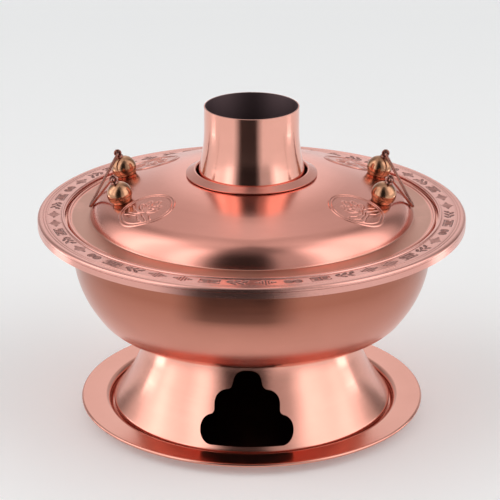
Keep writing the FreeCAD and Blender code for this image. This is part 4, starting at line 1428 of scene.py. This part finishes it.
@dataclass
class Studio:
    """Camera, pale floor, a world of light by bearing, a dark front flag and two low strip lights."""

    distance: float = 1742.0   # from the aim point to the camera
    elevation: float = math.radians(20.79)
    aim_up: float = 132.2
    focal_pixels: float = 2172.0
    frame_pixels: int = 500
    centre_pixel: float = 251.65
    sensor: float = 36.0
    floor_radius: float = 30.0  # metres
    floor_tone: Colour = (0.90, 0.90, 0.90)
    floor_far: Colour = (0.78, 0.787, 0.792)
    floor_lift: float = 0.16   # evenness that the sweep's own glow gives the paper
    strength: float = 2.4      # level of a full ramp
    ring: tuple[LightStop, ...] = tuple(LightStop(*stop) for stop in (
        (-180, 1.05), (-165, 0.62), (-145, 0.45), (-135, 0.26), (-120, 0.66), (-105, 1.50),
        (-92, 2.05), (-80, 1.50), (-68, 1.30), (-52, 1.90), (-45, 1.65), (-38, 0.85), (-30, 0.22),
        (-24, 0.04), (-18, 0.02), (8, 0.02), (14, 0.12), (21, 0.50), (30, 0.52), (38, 0.56),
        (46, 1.05), (56, 1.80), (66, 1.70), (80, 1.50), (95, 1.75), (105, 1.35), (118, 0.60),
        (130, 0.24), (137, 0.24), (145, 0.52), (165, 0.60), (180, 1.05)))
    ceiling: tuple[LightStop, ...] = tuple(LightStop(*stop) for stop in (
        (-180, 0.55), (-130, 0.75), (-90, 0.85), (-50, 0.70), (-25, 0.16), (25, 0.16), (60, 0.60), (90, 0.80),
        (130, 0.70), (180, 0.55)))
    ceiling_at: Point = (46.0, 72.0)  # degrees up between which the ring gives way to the ceiling
    flag_spread: tuple[float, float, float] = (-8.0, 34.0, 17.0)  # bearing, half width, half core
    flag_reach: Point = (0.3, 29.0)
    flag_up: float = 0.002
    strip_bearings: Point = (-103.0, 101.0)
    strip_distance: float = 0.52
    strip_size: Point = (0.13, 0.06)
    strip_power: float = 0.075

    def camera(self) -> None:
        """Make the camera and look through it."""
        data = bpy.data.cameras.new("camera")
        data.sensor_width = self.sensor
        data.lens = self.sensor * self.focal_pixels / self.frame_pixels
        data.shift_x = (self.frame_pixels / 2 - self.centre_pixel) / self.frame_pixels
        view = place("camera", data)
        towards = Vector((0, math.cos(self.elevation), -math.sin(self.elevation)))
        view.location = (Vector((0, 0, self.aim_up)) - towards * self.distance) * MM
        view.rotation_euler = towards.to_track_quat("-Z", "Y").to_euler()
        bpy.context.scene.camera = view

    def floor(self) -> None:
        """Lay a wide pale floor, evenly lit where it is seen or mirrored."""
        bm = bmesh.new()
        bmesh.ops.create_circle(bm, cap_ends=True, segments=96, radius=self.floor_radius)
        ground = place_mesh(bm, "studio_floor")
        bench = MaterialBench("studio_paper")
        coords, _, y, _ = bench.place()
        mottle = bench.ranged(bench.noise(coords, 3.0, 2.0), 0.3, 0.7, 0.0, 0.12)
        tone = bench.blend(bench.ranged(y, 0.0, 1.2), self.floor_tone, self.floor_far)
        ray = bench.node("LightPath").outputs
        mirrored = bench.maths("MAXIMUM", ray["Is Glossy Ray"], ray["Is Transmission Ray"])
        seen = bench.maths("MAXIMUM", ray["Is Camera Ray"], mirrored)
        ground.data.materials.append(bench.shade(
            base_color=bench.blend(mottle, tone, self.floor_far), roughness=0.9,
            emission_color=(1.0, 1.0, 1.0, 1.0), emission_strength=bench.times(seen, self.floor_lift)))

    def front_flag(self) -> None:
        """Lay a black flag in front of the pot; only reflections show it, as a dark middle line."""
        bm = bmesh.new()
        middle, half, core = (math.radians(angle) for angle in self.flag_spread)
        first = middle - half
        verts = [bm.verts.new((math.sin(first) * reach, -math.cos(first) * reach, self.flag_up))
                 for reach in self.flag_reach]
        bmesh.ops.spin(bm, geom=[*verts, bm.edges.new(verts)], cent=(0, 0, 0), axis=(0, 0, 1),
                       angle=2 * half, steps=24)
        flag = place_mesh(bm, "front_flag")
        bench = MaterialBench("black_flag")
        _, x, y, _ = bench.place()
        bearing = bench.maths("ARCTAN2", x, bench.times(y, -1.0))
        aside = bench.maths("ABSOLUTE", bench.maths("SUBTRACT", bearing, middle))
        flag.data.materials.append(bench.shade(
            base_color=(0.012, 0.012, 0.012, 1.0), roughness=0.9,
            alpha=bench.ranged(aside, core, half, 1.0, 0.0)))
        flag.visible_camera = flag.visible_diffuse = flag.visible_shadow = False

    def strips(self) -> None:
        """Stand a low strip softbox on each side; it draws the chimney's bright columns, not the paper."""
        for bearing in self.strip_bearings:
            data = bpy.data.lights.new("strip_softbox", "AREA")
            data.shape = "RECTANGLE"
            data.size, data.size_y = self.strip_size
            data.energy = self.strip_power
            strip = place("strip_softbox", data)
            outwards = Vector((math.sin(math.radians(bearing)), -math.cos(math.radians(bearing)), 0))
            strip.location = outwards * self.strip_distance + Vector((0, 0, self.strip_size[1] / 2 + 0.01))
            strip.rotation_euler = (-outwards).to_track_quat("-Z", "Y").to_euler()
            strip.visible_diffuse = False

    def world(self) -> None:
        """Light from all round, level by bearing and darker overhead."""
        world = bpy.data.worlds.new("studio_light")
        bpy.context.scene.world = world
        bench = NodeBench(world)
        _, x, y, z = bench.place("Generated")
        turn = bench.maths("DIVIDE", bench.maths("ARCTAN2", x, bench.times(y, -1.0)), FULL_TURN)
        bearing = bench.plus(turn, 0.5)
        height = bench.maths("DIVIDE", bench.maths("ARCSINE", z), math.pi / 2)
        low, high = (bench.ramp(bearing, [(stop.bearing / 360 + 0.5, stop.level / self.strength)
                                          for stop in stops]) for stops in (self.ring, self.ceiling))
        start, end = (angle / 90 for angle in self.ceiling_at)
        share = bench.ramp(height, [(0.0, 0.0), (start, 0.0), (end, 1.0)])
        light = bench.node("Background")
        bench.feed(light.inputs["Strength"], self.strength)
        bench.join(bench.blend(share, low, high), light.inputs["Color"])
        bench.join(light.outputs[0], bench.node("OutputWorld").inputs["Surface"])

    def build(self) -> None:
        """Set up the whole studio."""
        self.camera()
        self.floor()
        self.front_flag()
        self.strips()
        self.world()
        bpy.context.scene.view_settings.view_transform = "Standard"


def main() -> None:
    """Build the studio and every part of the pot, in order."""
    logging.basicConfig(level=logging.INFO, format="%(name)s: %(message)s")
    Studio().build()
    finishes = FinishRack()
    dome = DomeShape()
    DripTray(finishes).build()
    Pedestal(finishes).build()
    Bowl(finishes).build()
    Rim(finishes).build()
    FireTube(finishes).build()
    Lid(finishes, dome).build()
    for side in Side:
        for end in End:
            BallKnob(finishes, Post(dome, side, end)).build()
        Bail(finishes, dome, side).build()
    keep_node("knob_washers", finishes.steel)
    keep_node("knob_nuts", finishes.steel)


if __name__ == "__main__":
    main()
